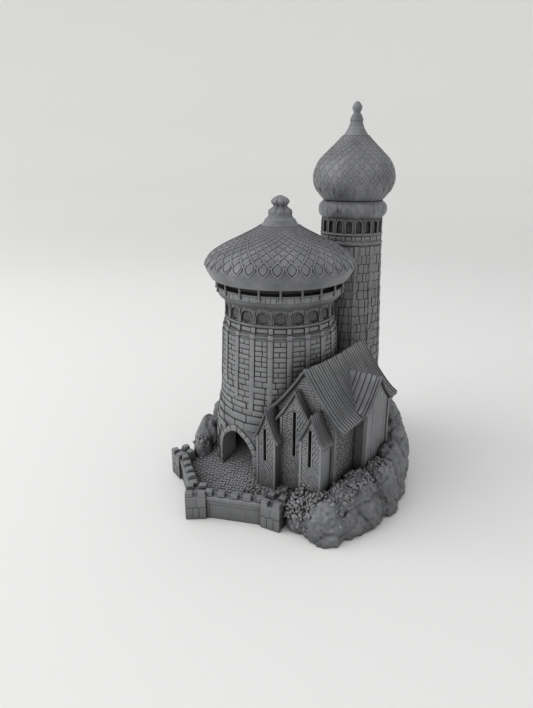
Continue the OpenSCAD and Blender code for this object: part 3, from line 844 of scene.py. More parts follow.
class DICETOWER_OT_onion(bpy.types.Operator):
    """Turn the minaret's cushion ring, its onion dome with scale tiles, and its finial"""
    bl_idname = "dicetower.onion"
    bl_label = "Onion dome"

    def execute(self, context):
        sizes = context.scene.dicetower_roof
        low, high = span("minaret_cushion")
        z = low.z
        swell = [(18.7, z), (20.5, z + 1.7), (21.3, z + 4.2), (21.3, z + 6.2), (20.6, z + 8.2), (18.6, high.z)]
        cushion = turned([(0, z)] + [tuple(p) for p in smooth_line(swell, 6)] + [(0, high.z)], 180)

        def folds(p):
            a = math.atan2(p.y, p.x)
            side = max(0.0, math.sin(math.pi * (p.z - z) / (high.z - z)))
            wave = noise.noise(Vector((9 * math.cos(a), 9 * math.sin(a), p.z * 0.05)))
            crease = abs(noise.noise(Vector((6 * math.cos(a), 6 * math.sin(a), p.z * 0.08 + 5))))
            return side * (0.6 * wave + 2.2 * min(0.3, crease) - 0.8)
        cushion = carve(cushion, folds)
        cushion.data.transform(at_minaret())
        finished(cushion, "minaret_cushion_ring", "castle", "print_scales", replaces=["minaret_cushion"], smooth=60)

        r = radius_of("onion_dome") - 0.75
        z = ONION_LOW.z
        swell = [(18.1, z), (22.0, z + 4.8), (r - 0.9, z + 8.6), (r, z + 13.2), (r - 0.8, z + 18.2), (21.6, z + 23.6),
                 (17.0, z + 28.4), (12.0, z + 33.2), (7.7, z + 37.7), (4.9, ONION_HIGH.z)]
        line = smooth_line(swell, 7)
        dome = turned([(0, z)] + [tuple(p) for p in line] + [(0, ONION_HIGH.z)], 216)

        def flutes(p):
            share = max(0.0, 1 - abs(p.z - z - 6) / 9)
            return 0.22 * share * math.cos(36 * math.atan2(p.y, p.x)) if p.xy.length > 3 else 0
        dome = carve(dome, flutes)
        dome.data.transform(at_minaret())
        finished(dome, "onion_shell", "castle", "print_scales", replaces=["onion_dome"], smooth=60)
        tiled(line, sizes.onion_tiles, 10.5, 6.0, 0.36, "onion_tiles", "castle", "print_scales", at=at_minaret())

        low, high = span("onion_finial")
        z = low.z
        tip = [(4.9, z), (4.1, z + 2.2), (3.75, z + 3.4), (4.0, z + 4.2), (3.75, z + 5.4), (2.9, z + 7.2),
               (2.0, z + 8.7), (2.4, z + 9.5), (2.95, z + 10.9), (2.85, z + 12.0), (2.1, z + 13.4), (1.1, z + 14.5),
               (0, high.z)]
        finial = turned([(0, z)] + [tuple(p) for p in smooth_line(tip, 5)], 72)
        finial.data.transform(at_minaret())
        finished(finial, "onion_finial_tip", "castle", "print_scales", replaces=["onion_finial"], smooth=60)
        return {"FINISHED"}


# ---------------------------------------------------------------- doorway and court

class DICETOWER_OT_door_arch(bpy.types.Operator):
    """Lay the ring of arch stones and the piers round the doorway"""
    bl_idname = "dicetower.door_arch"
    bl_label = "Door arch"

    def execute(self, context):
        rng = random.Random(5)
        spring, offset, reach, band = 24.0, 4.0, 17.0, 3.0
        middle = reach + band / 2
        apex = math.acos(offset / middle)
        stones = 6
        places = []
        for side in (-1, 1):
            for i in range(stones):
                angle = apex * (i + 0.45) / stones
                place = Matrix.Translation((side * (middle * math.cos(angle) - offset), 0,
                                            spring + middle * math.sin(angle)))
                size = (band * rng.uniform(0.96, 1.06), rng.uniform(1.45, 1.75), middle * apex / stones - 0.3)
                places.append(place @ Matrix.Rotation(-side * angle, 4, "Y")
                              @ Matrix.Translation((0, size[1] / 2 - 0.6, 0)) @ Matrix.Diagonal((*size, 1)))
            for i in range(3):
                size = (band * rng.uniform(0.95, 1.1), rng.uniform(1.4, 1.7), 4.6)
                places.append(Matrix.Translation((side * (13 + band / 2), size[1] / 2 - 0.6, 13.0 + 4.9 * i))
                              @ Matrix.Diagonal((*size, 1)))
        key_z = spring + math.sqrt(middle ** 2 - offset ** 2)
        places.append(Matrix.Translation((0, 0.5, key_z + 0.1)) @ Matrix.Diagonal((3.0, 2.2, band + 0.6, 1)))
        pattern = block((1, 1, 1), bevel=0.09)
        ring = spread(pattern, places)

        def onto_wall(p):
            r = keep_radius(p.z)
            return Vector((p.x, -(math.sqrt(r * r - p.x * p.x) + p.y), p.z))
        ring = outward(shape(ring, onto_wall))
        finished(ring, "door_arch_stones", "castle", "print_stone", replaces=["door_arch"])
        return {"FINISHED"}


def floor_z(y):
    """Height of the court's floor, which falls from the doorway to the curtain walls."""
    return max(4.0, 12.5 + (y + 38.5) * 0.36)


def paved(x, y):
    """Whether the floor is open at a place."""
    if abs(x) < 12.3 and -38.9 < y < -7.5:
        return True
    if math.hypot(x, y) < 39.2 or y > -20:
        return False
    across = x * math.cos(CHAPEL_TURN) + y * math.sin(CHAPEL_TURN)
    along_q = -x * math.sin(CHAPEL_TURN) + y * math.cos(CHAPEL_TURN)
    if across > 12.2 and along_q > -39.8:
        return False
    apothem = COURT_R * math.cos(math.pi / 6)
    sides = [math.radians(a) for a in (-120, -60, 0, 180)]
    if any(x * math.cos(a) + (y - COURT_Y) * math.sin(a) > apothem - 3.3 for a in sides):
        return False
    corners = [math.radians(a) for a in (-150, -90, -30)]
    return all(math.hypot(x - COURT_R * math.cos(a), y - COURT_Y - COURT_R * math.sin(a)) > 8.0 for a in corners)


class DICETOWER_OT_paving(bpy.types.Operator):
    """Pave the sloping floor of the court and the doorway with small setts in herringbone"""
    bl_idname = "dicetower.paving"
    bl_label = "Paving"

    def execute(self, context):
        rng = random.Random(61)
        length = mm(context.scene.dicetower_court.cobble)
        width = length / 2
        fall = Matrix.Rotation(math.atan(0.36), 4, "X")
        turn = Matrix.Rotation(math.radians(20), 4, "Z")
        places = []
        for i in range(-50, 50):
            for j in range(-60, 60):
                step = (i - j) % 4
                if step not in (0, 3):
                    continue
                middle = ((i + 1) * width, (j + 0.5) * width) if step == 0 else ((i + 0.5) * width, (j + 1) * width)
                spot = turn @ Vector((*middle, 0))
                x, y = spot.x, spot.y - 30
                if not paved(x, y):
                    continue
                size = (length - 0.35, width - 0.35) if step == 0 else (width - 0.35, length - 0.35)
                tip = Matrix.Rotation(math.radians(rng.uniform(-4, 4)), 4, "XY"[rng.randrange(2)])
                lie = fall if floor_z(y) > 4 else Matrix()
                places.append(Matrix.Translation((x, y, floor_z(y))) @ lie @ turn @ tip
                              @ Matrix.Diagonal((*size, 1.1 * rng.uniform(0.6, 1.2), 1)))
        setts = spread(block((1, 1, 1), bevel=0.13), places)
        finished(setts, "court_setts", "castle", "print_paving")
        return {"FINISHED"}


CURTAIN_MERLON = 2.6     # height of the merlons on the curtain walls
TURRET_MERLON = 2.4      # height of the merlons on the turrets


class DICETOWER_OT_court_walls(bpy.types.Operator):
    """Model the curtain walls with their coping and merlons, and the square turrets"""
    bl_idname = "dicetower.court_walls"
    bl_label = "Court walls"

    def execute(self, context):
        rng = random.Random(47)
        apothem = COURT_R * math.cos(math.pi / 6)
        out, inside = apothem + 3, apothem - 3
        lie = Matrix.Rotation(-math.pi / 2, 4, "Z")
        middle = Matrix.Translation((0, COURT_Y, 0))
        coping_top = span("curtain_wall_left")[1].z - CURTAIN_MERLON
        section = [(inside, 0.0), (out - 0.85, 0.0), (out - 0.85, 9.2), (out - 0.4, 9.5), (out - 0.4, 11.4),
                   (out - 0.3, 11.7), (out, 11.8), (out, coping_top - 0.4), (out - 0.35, coping_top),
                   (inside + 0.35, coping_top), (inside, coping_top - 0.4)]
        for side, angle in (("left", -120), ("right", -60)):
            place = middle @ Matrix.Rotation(math.radians(angle), 4, "Z")
            wall = plate(section, COURT_R)
            wall.data.transform(place @ Matrix.Translation((0, COURT_R / 2, 0)) @ lie)
            finished(wall, "curtain_" + side, "castle", "print_stone", replaces=["curtain_wall_" + side])
            parts = [Matrix.Translation((out - 0.85, end * 14.9, 4.7)) @ Matrix.Diagonal((1.0, 1.3, 9.4, 1))
                     for end in (-1, 1)]
            parts += [Matrix.Translation((out - 0.9, i * 9.3, 4.3)) @ Matrix.Diagonal((0.35, 9.1, 8.4, 1))
                      for i in (-1, 0, 1)]
            parts += [Matrix.Translation((out - 0.15, i * 5.9, 12.75)) @ Matrix.Diagonal((0.4, 5.7, 1.5, 1))
                      for i in range(-2, 3)]
            parts += self.merlons(rng, [(apothem, i * 7.4, coping_top) for i in range(-2, 3)], CURTAIN_MERLON)
            blocks = spread(block((1, 1, 1), bevel=0.07), [place @ part for part in parts])
            finished(blocks, "curtain_" + side + "_stones", "castle", "print_stone")

        top = span("turret_front")[1].z - TURRET_MERLON
        half = 11.5 / 2
        for name, angle in (("left", -150), ("front", -90), ("right", -30)):
            a = math.radians(angle)
            place = (middle @ Matrix.Translation((COURT_R * math.cos(a), COURT_R * math.sin(a), 0))
                     @ Matrix.Rotation(a + math.pi / 4, 4, "Z"))
            core = block((10.5, 10.5, top - 0.3), (0, 0, (top - 0.3) / 2), 0.3)
            parts = [Matrix.Translation((0, 0, top - 0.5)) @ Matrix.Diagonal((11.5, 11.5, 1.0, 1))]
            for face in range(4):
                turn = Matrix.Rotation(face * math.pi / 2, 4, "Z")
                for foot, head, stones in ((0, top * 0.52, 3), (top * 0.52, top - 0.4, 2)):
                    ends = [-half + 2 * half * i / stones + (rng.uniform(-0.7, 0.7) if 0 < i < stones else 0)
                            for i in range(stones + 1)]
                    for y0, y1 in zip(ends, ends[1:]):
                        parts.append(turn @ Matrix.Translation((half - 0.35, (y0 + y1) / 2, (foot + head) / 2))
                                     @ Matrix.Diagonal((0.7 * rng.uniform(0.8, 1.0), y1 - y0 - 0.35,
                                                        head - foot - 0.4, 1)))
            parts += self.merlons(rng, [(x * 3.5, y * 3.5, top) for x in (-1, 1) for y in (-1, 1)], TURRET_MERLON)
            stones = joined([core, spread(block((1, 1, 1), bevel=0.06), parts)])
            stones.data.transform(place)
            finished(stones, "turret_" + name + "_stones", "castle", "print_stone", replaces=["turret_" + name])

        clear()
        bpy.ops.mesh.primitive_cylinder_add(vertices=6, radius=(out - 1.0) / math.cos(math.pi / 6), depth=3.9,
                                            location=(0, COURT_Y, 1.97))
        bpy.ops.object.transform_apply(location=True)
        slab = bpy.context.object
        disc = turned([(0, 0.1), (39.4, 0.1), (39.9, 0.6), (39.9, 3.2), (39.4, 3.8), (0, 3.8)], 96)
        finished(joined([slab, disc]), "court_slab", "castle", "print_stone", replaces=["base_plate"])
        return {"FINISHED"}

    def merlons(self, rng, spots, tall):
        """Places of merlons, each of a broad stone and a smaller one that sits a little askew."""
        places = []
        for x, y, z in spots:
            for width, low, high in ((4.4, 0.0, tall * 0.58), (4.0, tall * 0.58, tall * 0.97)):
                askew = Matrix.Rotation(math.radians(rng.uniform(-6, 6)), 4, "Z")
                places.append(Matrix.Translation((x + rng.uniform(-0.2, 0.2), y + rng.uniform(-0.2, 0.2),
                                                  z + (low + high) / 2)) @ askew
                              @ Matrix.Diagonal((width * 0.9, width * rng.uniform(0.92, 1.0), high - low, 1)))
        return places


# ---------------------------------------------------------------- chapel

# Each gable: middle, half width at the eaves, eave height, ridge height, wall from, wall to.
MAIN = (38.4, 24.6, 58.0, 86.5, 19.5, 56.8)
WING = (5.5, 17.0, 60.0, 77.0, -8.0, 20.0)
LEFT = (19.6, 8.4, 43.5, 60.8, 12.8, 26.0)
MIDDLE = (35.2, 16.5, 52.0, 74.6, 25.4, 45.0)
RIGHT = (48.6, 8.4, 50.0, 66.2, 41.5, 55.2)
MAIN_Q = (-30.0, 31.0)
MAIN_ROOF_Q = (-32.0, 34.3)
FRONT_Q = -39.4
MIDDLE_Q = -34.4
WING_P = (45.0, 64.0)
WING_ROOF_END = 65.6
ACROSS = Matrix.Rotation(math.pi / 2, 4, "Z")      # lays a piece for a wall across p on a wall across q


def roof_z(gable, side, drop=0.0):
    """Height of a gable's roof at a place across it: it flattens towards the eaves."""
    t = max(0.0, 1 - abs(side - gable[0]) / gable[1])
    return gable[2] + (gable[3] - gable[2]) * t ** 1.3 - drop


def roof_band(gable, run, rise, sag=0.0, cuts=15):
    """A band of roof from eave to eave, between two places along it and two heights over its line."""
    band = block((run[1] - run[0], 2, rise[1] - rise[0]), ((run[0] + run[1]) / 2, 0, (rise[0] + rise[1]) / 2))
    edit(band)
    bpy.ops.mesh.subdivide(number_cuts=cuts)
    done()
    return shape(band, lambda p: over_roof(gable, p, sag))


def over_roof(gable, p, sag=0.0):
    """Bends a flat place (along the roof, share of the slope, height) onto the roof's line."""
    side = gable[0] + p.y * gable[1]
    t = max(0.0, 1 - abs(p.y))
    bow = math.sin(math.pi * (p.x - MAIN_ROOF_Q[0]) / (MAIN_ROOF_Q[1] - MAIN_ROOF_Q[0])) if sag else 0.0
    return Vector((p.x, side, roof_z(gable, side) - sag * bow * t + p.z))


def to_q(piece):
    """Turns a roof that was modelled along x so that it runs along the chapel's q axis."""
    piece.data.transform(chapel_place(Matrix(((0, 1, 0, 0), (1, 0, 0, 0), (0, 0, 1, 0), (0, 0, 0, 1)))))
    return outward(piece)


def to_p(piece):
    """Turns a roof that was modelled along x so that it runs along the chapel's p axis."""
    piece.data.transform(chapel_place())
    return piece


def roof_boards(rng, gable, run, width, sag=0.0, loose=0.1, gap=0.6):
    """Boards down both slopes of a gable's roof, one beside the other."""
    board = block((1, 1, 1), (0, 0.5, 0.5), 0.12)
    edit(board, "EDGE", lambda e: abs(board.data.vertices[e.vertices[0]].co.y
                                      - board.data.vertices[e.vertices[1]].co.y) > 0.5)
    bpy.ops.mesh.subdivide(number_cuts=8)
    done()
    copies = []
    for side in (-1, 1):
        at = run[0]
        while at < run[1] - 0.3:
            wide = min(width * rng.uniform(1 - loose, 1 + loose), run[1] - at)
            high = rng.uniform(-0.15, 0.22)
            foot = 1 + rng.uniform(-0.014, 0.012)
            skew = rng.uniform(-0.2, 0.2)
            copy = board.copy()
            copy.data = board.data.copy()
            bpy.context.collection.objects.link(copy)
            middle = at + wide / 2

            def bend(p):
                flat = Vector((middle + p.x * (wide - gap) + skew * (p.y - 0.5), side * (1 - foot * (1 - p.y)),
                               -1.1 + p.z * (high + 1.1)))
                return over_roof(gable, flat, sag)
            copies.append(shape(copy, bend))
            at += wide
    bpy.data.objects.remove(board)
    return outward(joined(copies))


def strokes(rng, inside, across, up, lean, pitch, length, thick):
    """Places of short raised strokes laid in slanting rows where inside(across, up) allows them."""
    places = []
    lean_to = Matrix.Rotation(math.radians(lean), 2)
    reach = math.hypot(across[1] - across[0], up[1] - up[0]) / 2
    centre = Vector(((across[0] + across[1]) / 2, (up[0] + up[1]) / 2))
    row = -reach
    while row < reach:
        run, start, limit = -reach, None, 0.0
        while run < reach:
            free = inside(*(centre + lean_to @ Vector((run, row))))
            if start is None and free:
                start, limit = run, length * rng.uniform(0.6, 1.25)
            elif start is not None and (not free or run - start > limit):
                if run - start > 0.9:
                    spot = centre + lean_to @ Vector(((start + run) / 2, row + rng.uniform(-0.12, 0.12)))
                    angle = -math.radians(lean + rng.uniform(-5, 5))
                    places.append(Matrix.Translation((spot.x, 0, spot.y)) @ Matrix.Rotation(angle, 4, "Y")
                                  @ Matrix.Diagonal((run - start - 0.2, thick * rng.uniform(0.42, 0.84),
                                                     pitch * 0.68, 1)))
                start = None
            run += 0.3
        row += pitch
    return places


def gable_face(gable, foot, slit=None, margin=1.5):
    """Test for a place on a gable's wall: under its roof, between its posts and off its window."""
    def inside(side, z):
        if not (gable[4] + margin < side < gable[5] - margin and z > foot):
            return False
        if z > roof_z(gable, side, 3.2):
            return False
        return not (slit and abs(side - slit[0]) < 1.5 and slit[1] - 0.6 < z < slit[2] + 0.6)
    return inside


def post(side, foot, head, width=1.5, proud=1.1):
    """Place of an upright post on a gable's wall."""
    return Matrix.Translation((side, 0, (foot + head) / 2)) @ Matrix.Diagonal((width, proud, head - foot, 1))


class DICETOWER_OT_chapel_walls(bpy.types.Operator):
    """Score the chapel's walls with slanting and level strokes, and set its corner posts and boards"""
    bl_idname = "dicetower.chapel_walls"
    bl_label = "Chapel walls"

    def execute(self, context):
        rng = random.Random(71)
        pitch = mm(context.scene.dicetower_chapel.hatch)
        marks, timbers = [], []

        def on_front(q, places, into):
            into.extend(chapel_place(Matrix.Translation((0, q, 0)) @ place) for place in places)

        def on_side(p, places, into):
            into.extend(chapel_place(Matrix.Translation((p, 0, 0)) @ ACROSS @ place) for place in places)

        slits = ((LEFT, (18.7, 29.5, 49.0), FRONT_Q, 8.0, 33.0),
                 (MIDDLE, (34.8, 35.5, 62.0), MIDDLE_Q, 10.0, 39.0),
                 (RIGHT, (47.9, 35.5, 57.0), FRONT_Q, 18.0, 40.0))
        for gable, slit, q, foot, change in slits:
            inside = gable_face(gable, foot, slit)
            left, right = (gable[4], slit[0]), (slit[0], gable[5])
            low, high = (foot, change), (change, gable[3])
            whole = (gable[4], gable[5])
            below = lambda side, z: inside(side, z) and z < change
            above_left = lambda side, z: inside(side, z) and z >= change and side < slit[0]
            above_right = lambda side, z: inside(side, z) and z >= change and side > slit[0]
            on_front(q, strokes(rng, below, whole, low, -42, pitch, 6.0, 1.2), marks)
            on_front(q, strokes(rng, above_left, left, high, -6, pitch, 2.6, 1.25), marks)
            on_front(q, strokes(rng, above_right, right, high, 62, pitch * 1.1, 4.0, 0.95), marks)
            eaves = [roof_z(gable, side, 2.6) for side in (gable[4] + 0.8, gable[5] - 0.8)]
            posts = [post(gable[4] + 0.75, foot, eaves[0]), post(gable[5] - 0.75, foot, eaves[1]),
                     post(slit[0] + 1.35, slit[1] - 0.5, slit[2] + 0.5, 0.7, 0.8),
                     post(slit[0] - 1.3, slit[1] - 0.5, slit[2] + 0.5, 0.5, 0.7)]
            on_front(q, posts, timbers)

        main = gable_face(MAIN, 40)
        on_front(MAIN_Q[0], strokes(rng, main, (MAIN[4], MAIN[5]), (40, 84), 4, pitch, 2.8, 1.2), marks)
        on_front(MAIN_Q[0], [post(MAIN[5] - 0.8, 18, 56.5), post(MAIN[4] + 0.8, 40, 58.5)], timbers)
        on_front(MAIN_Q[1], strokes(rng, main, (MAIN[4], MAIN[5]), (40, 84), -8, pitch, 3.2, 1.2), marks)
        back_posts = [post(side, 30, roof_z(MAIN, side, 2.9)) for side in (MAIN[4] + 0.9, MAIN[0], MAIN[5] - 0.9)]
        on_front(MAIN_Q[1], back_posts, timbers)

        flank = lambda side, z: (MAIN_Q[0] + 1.6 < side < WING[4] - 0.6 or WING[5] + 0.6 < side < MAIN_Q[1] - 1.6) \
            and 22 < z < 57.5
        on_side(MAIN[5], strokes(rng, flank, MAIN_Q, (20, 58), 12, pitch * 1.15, 3.0, 1.5), marks)
        on_side(MAIN[5], [post(side, 18, 57.5, 1.7) for side in (MAIN_Q[0] + 0.85, MAIN_Q[1] - 0.85)], timbers)

        side = WING[4] + 1.9
        while side < WING[5] - 2.0:
            wide = rng.uniform(2.4, 4.2)
            wide = min(wide, WING[5] - 1.9 - side)
            head = min(roof_z(WING, side + 0.2, 2.7), roof_z(WING, side + wide - 0.2, 2.7))
            on_side(WING_P[1], [post(side + wide / 2, 18, head, wide - 0.3, rng.uniform(0.25, 0.5))], timbers)
            side += wide
        on_side(WING_P[1], [post(WING[4] + 0.9, 18, roof_z(WING, WING[4] + 0.9, 2.5), 1.8, 1.6),
                            post(WING[5] - 0.9, 18, roof_z(WING, WING[5] - 0.9, 2.5), 1.8, 1.6)], timbers)
        for q in (WING[4], WING[5]):
            on_front(q, [post(WING_P[1] - 0.9, 18, 58.5, 1.8, 1.2)], timbers)
            on_front(q, strokes(rng, lambda p, z: 57.5 < p < 62 and 20 < z < 57, (57, 62), (20, 57), 5, pitch, 2.2,
                                0.8), marks)
        finished(spread(block((1, 1, 1), bevel=0.13), marks), "chapel_scoring", "castle", "print_planks")
        finished(spread(block((1, 1, 1), bevel=0.08), timbers), "chapel_posts", "castle", "print_planks")
        return {"FINISHED"}


class DICETOWER_OT_chapel_roofs(bpy.types.Operator):
    """Model the boarded roofs of the chapel, its wing and its small gables, with their raised verges"""
    bl_idname = "dicetower.chapel_roofs"
    bl_label = "Chapel roofs"

    def execute(self, context):
        sizes = context.scene.dicetower_chapel
        rng = random.Random(83)
        board, thick, sag = mm(sizes.board_w), mm(sizes.roof_t), mm(sizes.sag)
        under = (-thick, -0.85)

        shell = to_q(roof_band(MAIN, MAIN_ROOF_Q, under, sag))
        finished(cut_by(shell, self.keep_round()), "chapel_roof_shell", "castle", "print_planks",
                 replaces=["chapel_roof"])
        boards = roof_boards(rng, MAIN, (MAIN_ROOF_Q[0] + 2.1, MAIN_ROOF_Q[1] - 0.8), board, sag)
        verges = [roof_band(MAIN, (at, at + wide), (-1.6, 0.3), sag)
                  for at, wide in ((MAIN_ROOF_Q[0], 0.75), (MAIN_ROOF_Q[0] + 1.3, 0.55), (MAIN_ROOF_Q[1] - 0.8, 0.8))]
        top = to_q(joined([boards] + verges))
        finished(cut_by(top, self.keep_round()), "chapel_roof_boards", "castle", "print_planks")

        wing_run = (40.0, WING_ROOF_END)
        finished(to_p(outward(roof_band(WING, wing_run, under))), "wing_roof_shell", "castle", "print_planks",
                 replaces=["wing_roof"])
        boards = roof_boards(rng, WING, (41.5, WING_ROOF_END - 1.3), board * 1.6, loose=0.35)
        verge = roof_band(WING, (WING_ROOF_END - 0.8, WING_ROOF_END), (-1.6, 0.3))
        finished(to_p(outward(joined([boards, verge]))), "wing_roof_boards", "castle", "print_planks")

        fronts = (("left", LEFT, FRONT_Q), ("middle", MIDDLE, MIDDLE_Q), ("right", RIGHT, FRONT_Q))
        for name, gable, q in fronts:
            run = (q - 1.2, MAIN_Q[0] + 0.2)
            shell = roof_band(gable, run, (-thick, -0.8))
            boards = roof_boards(rng, gable, (run[0] + 1.0, run[1]), board * 0.75, loose=0.2, gap=0.5)
            verge = roof_band(gable, (run[0], run[0] + 0.65), (-1.4, 0.3))
            finished(to_q(joined([shell, boards, verge])), "gable_" + name + "_boards", "castle", "print_planks",
                     replaces=["gable_" + name + "_roof"])
        return {"FINISHED"}

    def keep_round(self):
        """The keep's wall, drawn plainly, for cutting the roof to it."""
        heights = (40, 45, 52, 64, 97, 115)
        return turned([(0, 40)] + [(keep_radius(z) + 0.4, z) for z in heights] + [(0, 115)], 96)


# ---------------------------------------------------------------- rocks

ROCK_NODES = ("rocks_front", "rocks_side", "rocks_corner", "rocks_back", "rocks_left")


class DICETOWER_OT_rocks(bpy.types.Operator):
    """Model the rocks as one lumpy mass round the castle, with rubble at the foot of the gables"""
    bl_idname = "dicetower.rocks"
    bl_label = "Rocks"

    def execute(self, context):
        sizes = context.scene.dicetower_rock
        pieces = []
        for node in ROCK_NODES:
            mesh = frame["nodes"][node].data.copy()
            mesh.transform(Matrix.Scale(1 / MM, 4))
            copy = bpy.data.objects.new("rock", mesh)
            context.collection.objects.link(copy)
            pieces.append(copy)
        rock = joined(pieces)
        edit(rock, "VERT")
        bpy.ops.mesh.remove_doubles(threshold=0.001)
        done()
        rock.modifiers.new("fuse", "REMESH").voxel_size = mm(sizes.voxel)
        round_off = rock.modifiers.new("round", "SMOOTH")
        round_off.factor, round_off.iterations = 0.5, 36
        for name in ("fuse", "round"):
            bpy.ops.object.modifier_apply(modifier=name)
        lump, depth = mm(sizes.lump), mm(sizes.lump_depth)

        def weathered(p):
            left = max(0.0, min(1.0, (-p.x - 12) / 12)) if p.y < 30 else 0.0
            bent = p + 2.4 * noise.noise_vector(p / 10)
            bent.z *= 1 - 0.62 * left
            near, far = noise.voronoi(bent / lump)[0][:2]
            cleft = max(0.0, 1 - (far - near) / 0.22) ** 1.5
            knob, next_knob = noise.voronoi(bent / (lump * 0.25) + Vector((7, 3, 1)))[0][:2]
            crack = max(0.0, 1 - (next_knob - knob) / 0.25)
            bumpy = max(0.15, 0.5 + 0.8 * noise.noise(p / 15))
            fine = noise.noise(bent / 1.2)
            ripple = 1 - 2 * abs(noise.noise(bent / 4.5))
            return (1.5 - depth * (0.7 * near + 0.3 * cleft) - bumpy * (0.7 * knob + 0.4 * crack)
                    + 0.5 * ripple + 0.45 * fine)
        rock = carve(rock, weathered)
        shape(rock, lambda p: Vector((p.x, p.y, max(0.0, p.z))))
        self.rubble(rock)
        finished(rock, "rock_mass", "castle", "print_rock", replaces=ROCK_NODES, smooth=70)
        return {"FINISHED"}

    def rubble(self, rock):
        """Broken stones heaped at the foot of the gables, and strewn over the rocks beside them."""
        rng = random.Random(97)
        surface = BVHTree.FromPolygons([v.co for v in rock.data.vertices], [p.vertices for p in rock.data.polygons])
        clear()
        bpy.ops.mesh.primitive_ico_sphere_add(subdivisions=1, radius=1)
        stone = bpy.context.object
        shape(stone, lambda p: p * (1 + 0.45 * noise.noise(p * 1.3 + Vector((3, 0, 0)))))
        areas = (((13, 30), (-46.5, -40), 1.0, 90), ((26, 44), (-49, -40), 2.6, 280), ((29, 47), (-41, -30), 3.0, 260),
                 ((40, 60), (-47, -38), 3.4, 280), ((47, 62), (-44, -30), 1.6, 150), ((56, 76), (-36, 12), 0.5, 300),
                 ((-37, -27), (-41, -33), 1.2, 40))
        places = []
        for across, back, pile, count in areas:
            for _ in range(count):
                x, y = rng.uniform(*across), rng.uniform(*back)
                hit = surface.ray_cast(Vector((x, y, 60)), Vector((0, 0, -1)))[0]
                ground = max(min(11.5, floor_z(y)) if y > -49 and x < 50 else 0.0, hit.z if hit else 0.0)
                if ground < 3:
                    continue
                size = [rng.uniform(0.5, 1.5) for _ in range(2)] + [rng.uniform(0.5, 1.0)]
                turn = Matrix.Rotation(rng.uniform(0, 6.28), 4, Vector([rng.uniform(-1, 1) for _ in range(3)]))
                spot = (x, y, ground + rng.uniform(-0.2, pile))
                places.append(Matrix.Translation(spot) @ turn @ Matrix.Diagonal((*size, 1)))
        finished(spread(stone, places), "rubble", "castle", "print_rock", smooth=25)


class DICETOWER_OT_plain_walls(bpy.types.Operator):
    """Give every wall, ramp and step that stays plain its printed finish"""
    bl_idname = "dicetower.plain_walls"
    bl_label = "Plain walls"

    def execute(self, context):
        # Frame nodes in the print_plain slot get a near-black colour: painted shade for the parts inside the doorway.
        finish_frame(*frame["nodes"])
        return {"FINISHED"}


# ---------------------------------------------------------------- stage

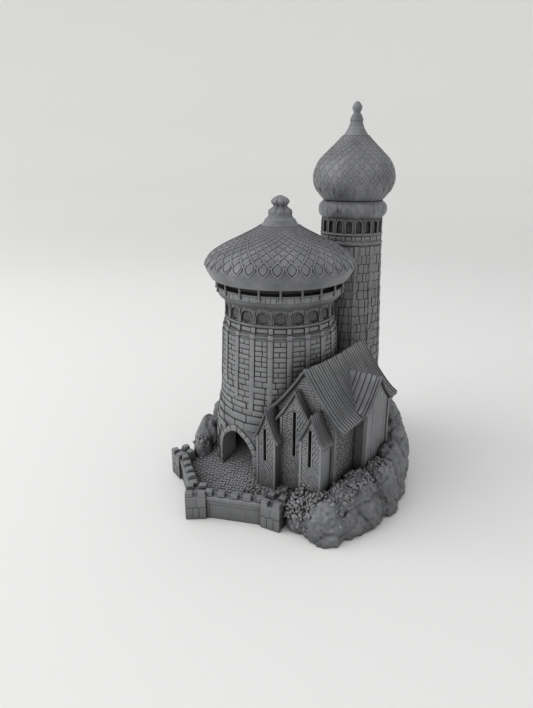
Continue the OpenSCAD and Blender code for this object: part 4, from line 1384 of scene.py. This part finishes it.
class DICETOWER_OT_stage(bpy.types.Operator):
    """Set the pale floor, the soft lights and the camera"""
    bl_idname = "dicetower.stage"
    bl_label = "Stage"

    def execute(self, context):
        colours = context.scene.dicetower_stage
        floor = turned([(0, 0), (900, 0), (1150, 30), (1330, 120), (1440, 280), (1480, 500), (1490, 900)], 96)
        pick(floor)
        floor.name = "floor"
        floor.data.transform(Matrix.Scale(MM, 4))
        bpy.ops.object.shade_smooth()
        paper = bpy.data.materials.new("matt_white_card")
        paper.use_nodes = True
        shader = paper.node_tree.nodes["Principled BSDF"]
        shader.inputs["Base Color"].default_value = tuple(colours.floor)
        shader.inputs["Roughness"].default_value = 0.9
        floor.data.materials.append(paper)

        lens = bpy.data.cameras.new("camera")
        lens.lens, lens.sensor_width = 27.79, 36
        lens.clip_start, lens.clip_end = 0.01, 10
        camera = bpy.data.objects.new("camera", lens)
        camera.location = (0.2078, -0.2340, 0.1882)
        camera.rotation_euler = (math.radians(90 - 19.4), 0, math.radians(43))
        context.collection.objects.link(camera)
        context.scene.camera = camera

        self.light("key", (-0.62, -0.8, 0.85), 1.3, 9.9)
        self.light("fill", (0.75, -0.6, 0.6), 0.9, 0.45)
        self.light("top", (0.0, 0.1, 1.15), 0.9, 1.5)
        world = bpy.data.worlds.new("studio")
        world.use_nodes = True
        world.node_tree.nodes["Background"].inputs["Color"].default_value = linear("#F3F4F6")
        world.node_tree.nodes["Background"].inputs["Strength"].default_value = 0.62
        context.scene.world = world
        context.scene.view_settings.view_transform = "Standard"
        return {"FINISHED"}

    def light(self, name, place, size, power):
        lamp = bpy.data.lights.new(name, "AREA")
        lamp.size, lamp.energy = size, power
        holder = bpy.data.objects.new(name, lamp)
        holder.location = place
        holder.rotation_euler = (Vector((0, 0, 0.09)) - Vector(place)).to_track_quat("-Z", "Y").to_euler()
        bpy.context.collection.objects.link(holder)


# ---------------------------------------------------------------- the add-on

STEPS = (
    DICETOWER_OT_stage,
    DICETOWER_OT_keep_stones,
    DICETOWER_OT_keep_arcade,
    DICETOWER_OT_gallery,
    DICETOWER_OT_roof,
    DICETOWER_OT_minaret,
    DICETOWER_OT_onion,
    DICETOWER_OT_door_arch,
    DICETOWER_OT_paving,
    DICETOWER_OT_court_walls,
    DICETOWER_OT_chapel_walls,
    DICETOWER_OT_chapel_roofs,
    DICETOWER_OT_rocks,
    DICETOWER_OT_plain_walls,
)


class DICETOWER_PT_panel(bpy.types.Panel):
    """Lists the tower's parts in the sidebar"""
    bl_idname = "DICETOWER_PT_panel"
    bl_label = "Dice Tower"
    bl_space_type = "VIEW_3D"
    bl_region_type = "UI"
    bl_category = "Dice Tower"

    def draw(self, context):
        for name, group in GROUPS.items():
            box = self.layout.box()
            for key in group.__annotations__:
                box.prop(getattr(context.scene, name), key)
        for step in STEPS:
            self.layout.operator(step.bl_idname)


GROUPS = {
    "dicetower_keep": KeepSizes,
    "dicetower_roof": RoofSizes,
    "dicetower_chapel": ChapelSizes,
    "dicetower_court": CourtSizes,
    "dicetower_rock": RockSizes,
    "dicetower_stage": StageColours,
}


def register():
    for group in GROUPS.values():
        bpy.utils.register_class(group)
    for name, group in GROUPS.items():
        setattr(bpy.types.Scene, name, bpy.props.PointerProperty(type=group))
    for step in STEPS:
        bpy.utils.register_class(step)
    bpy.utils.register_class(DICETOWER_PT_panel)


def unregister():
    bpy.utils.unregister_class(DICETOWER_PT_panel)
    for step in reversed(STEPS):
        bpy.utils.unregister_class(step)
    for name, group in GROUPS.items():
        delattr(bpy.types.Scene, name)
        bpy.utils.unregister_class(group)


def main():
    """Registers the add-on and makes every part in order."""
    register()
    for step in STEPS:
        group, name = step.bl_idname.split(".")
        getattr(getattr(bpy.ops, group), name)()
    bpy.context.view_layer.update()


if __name__ == "__main__":
    main()
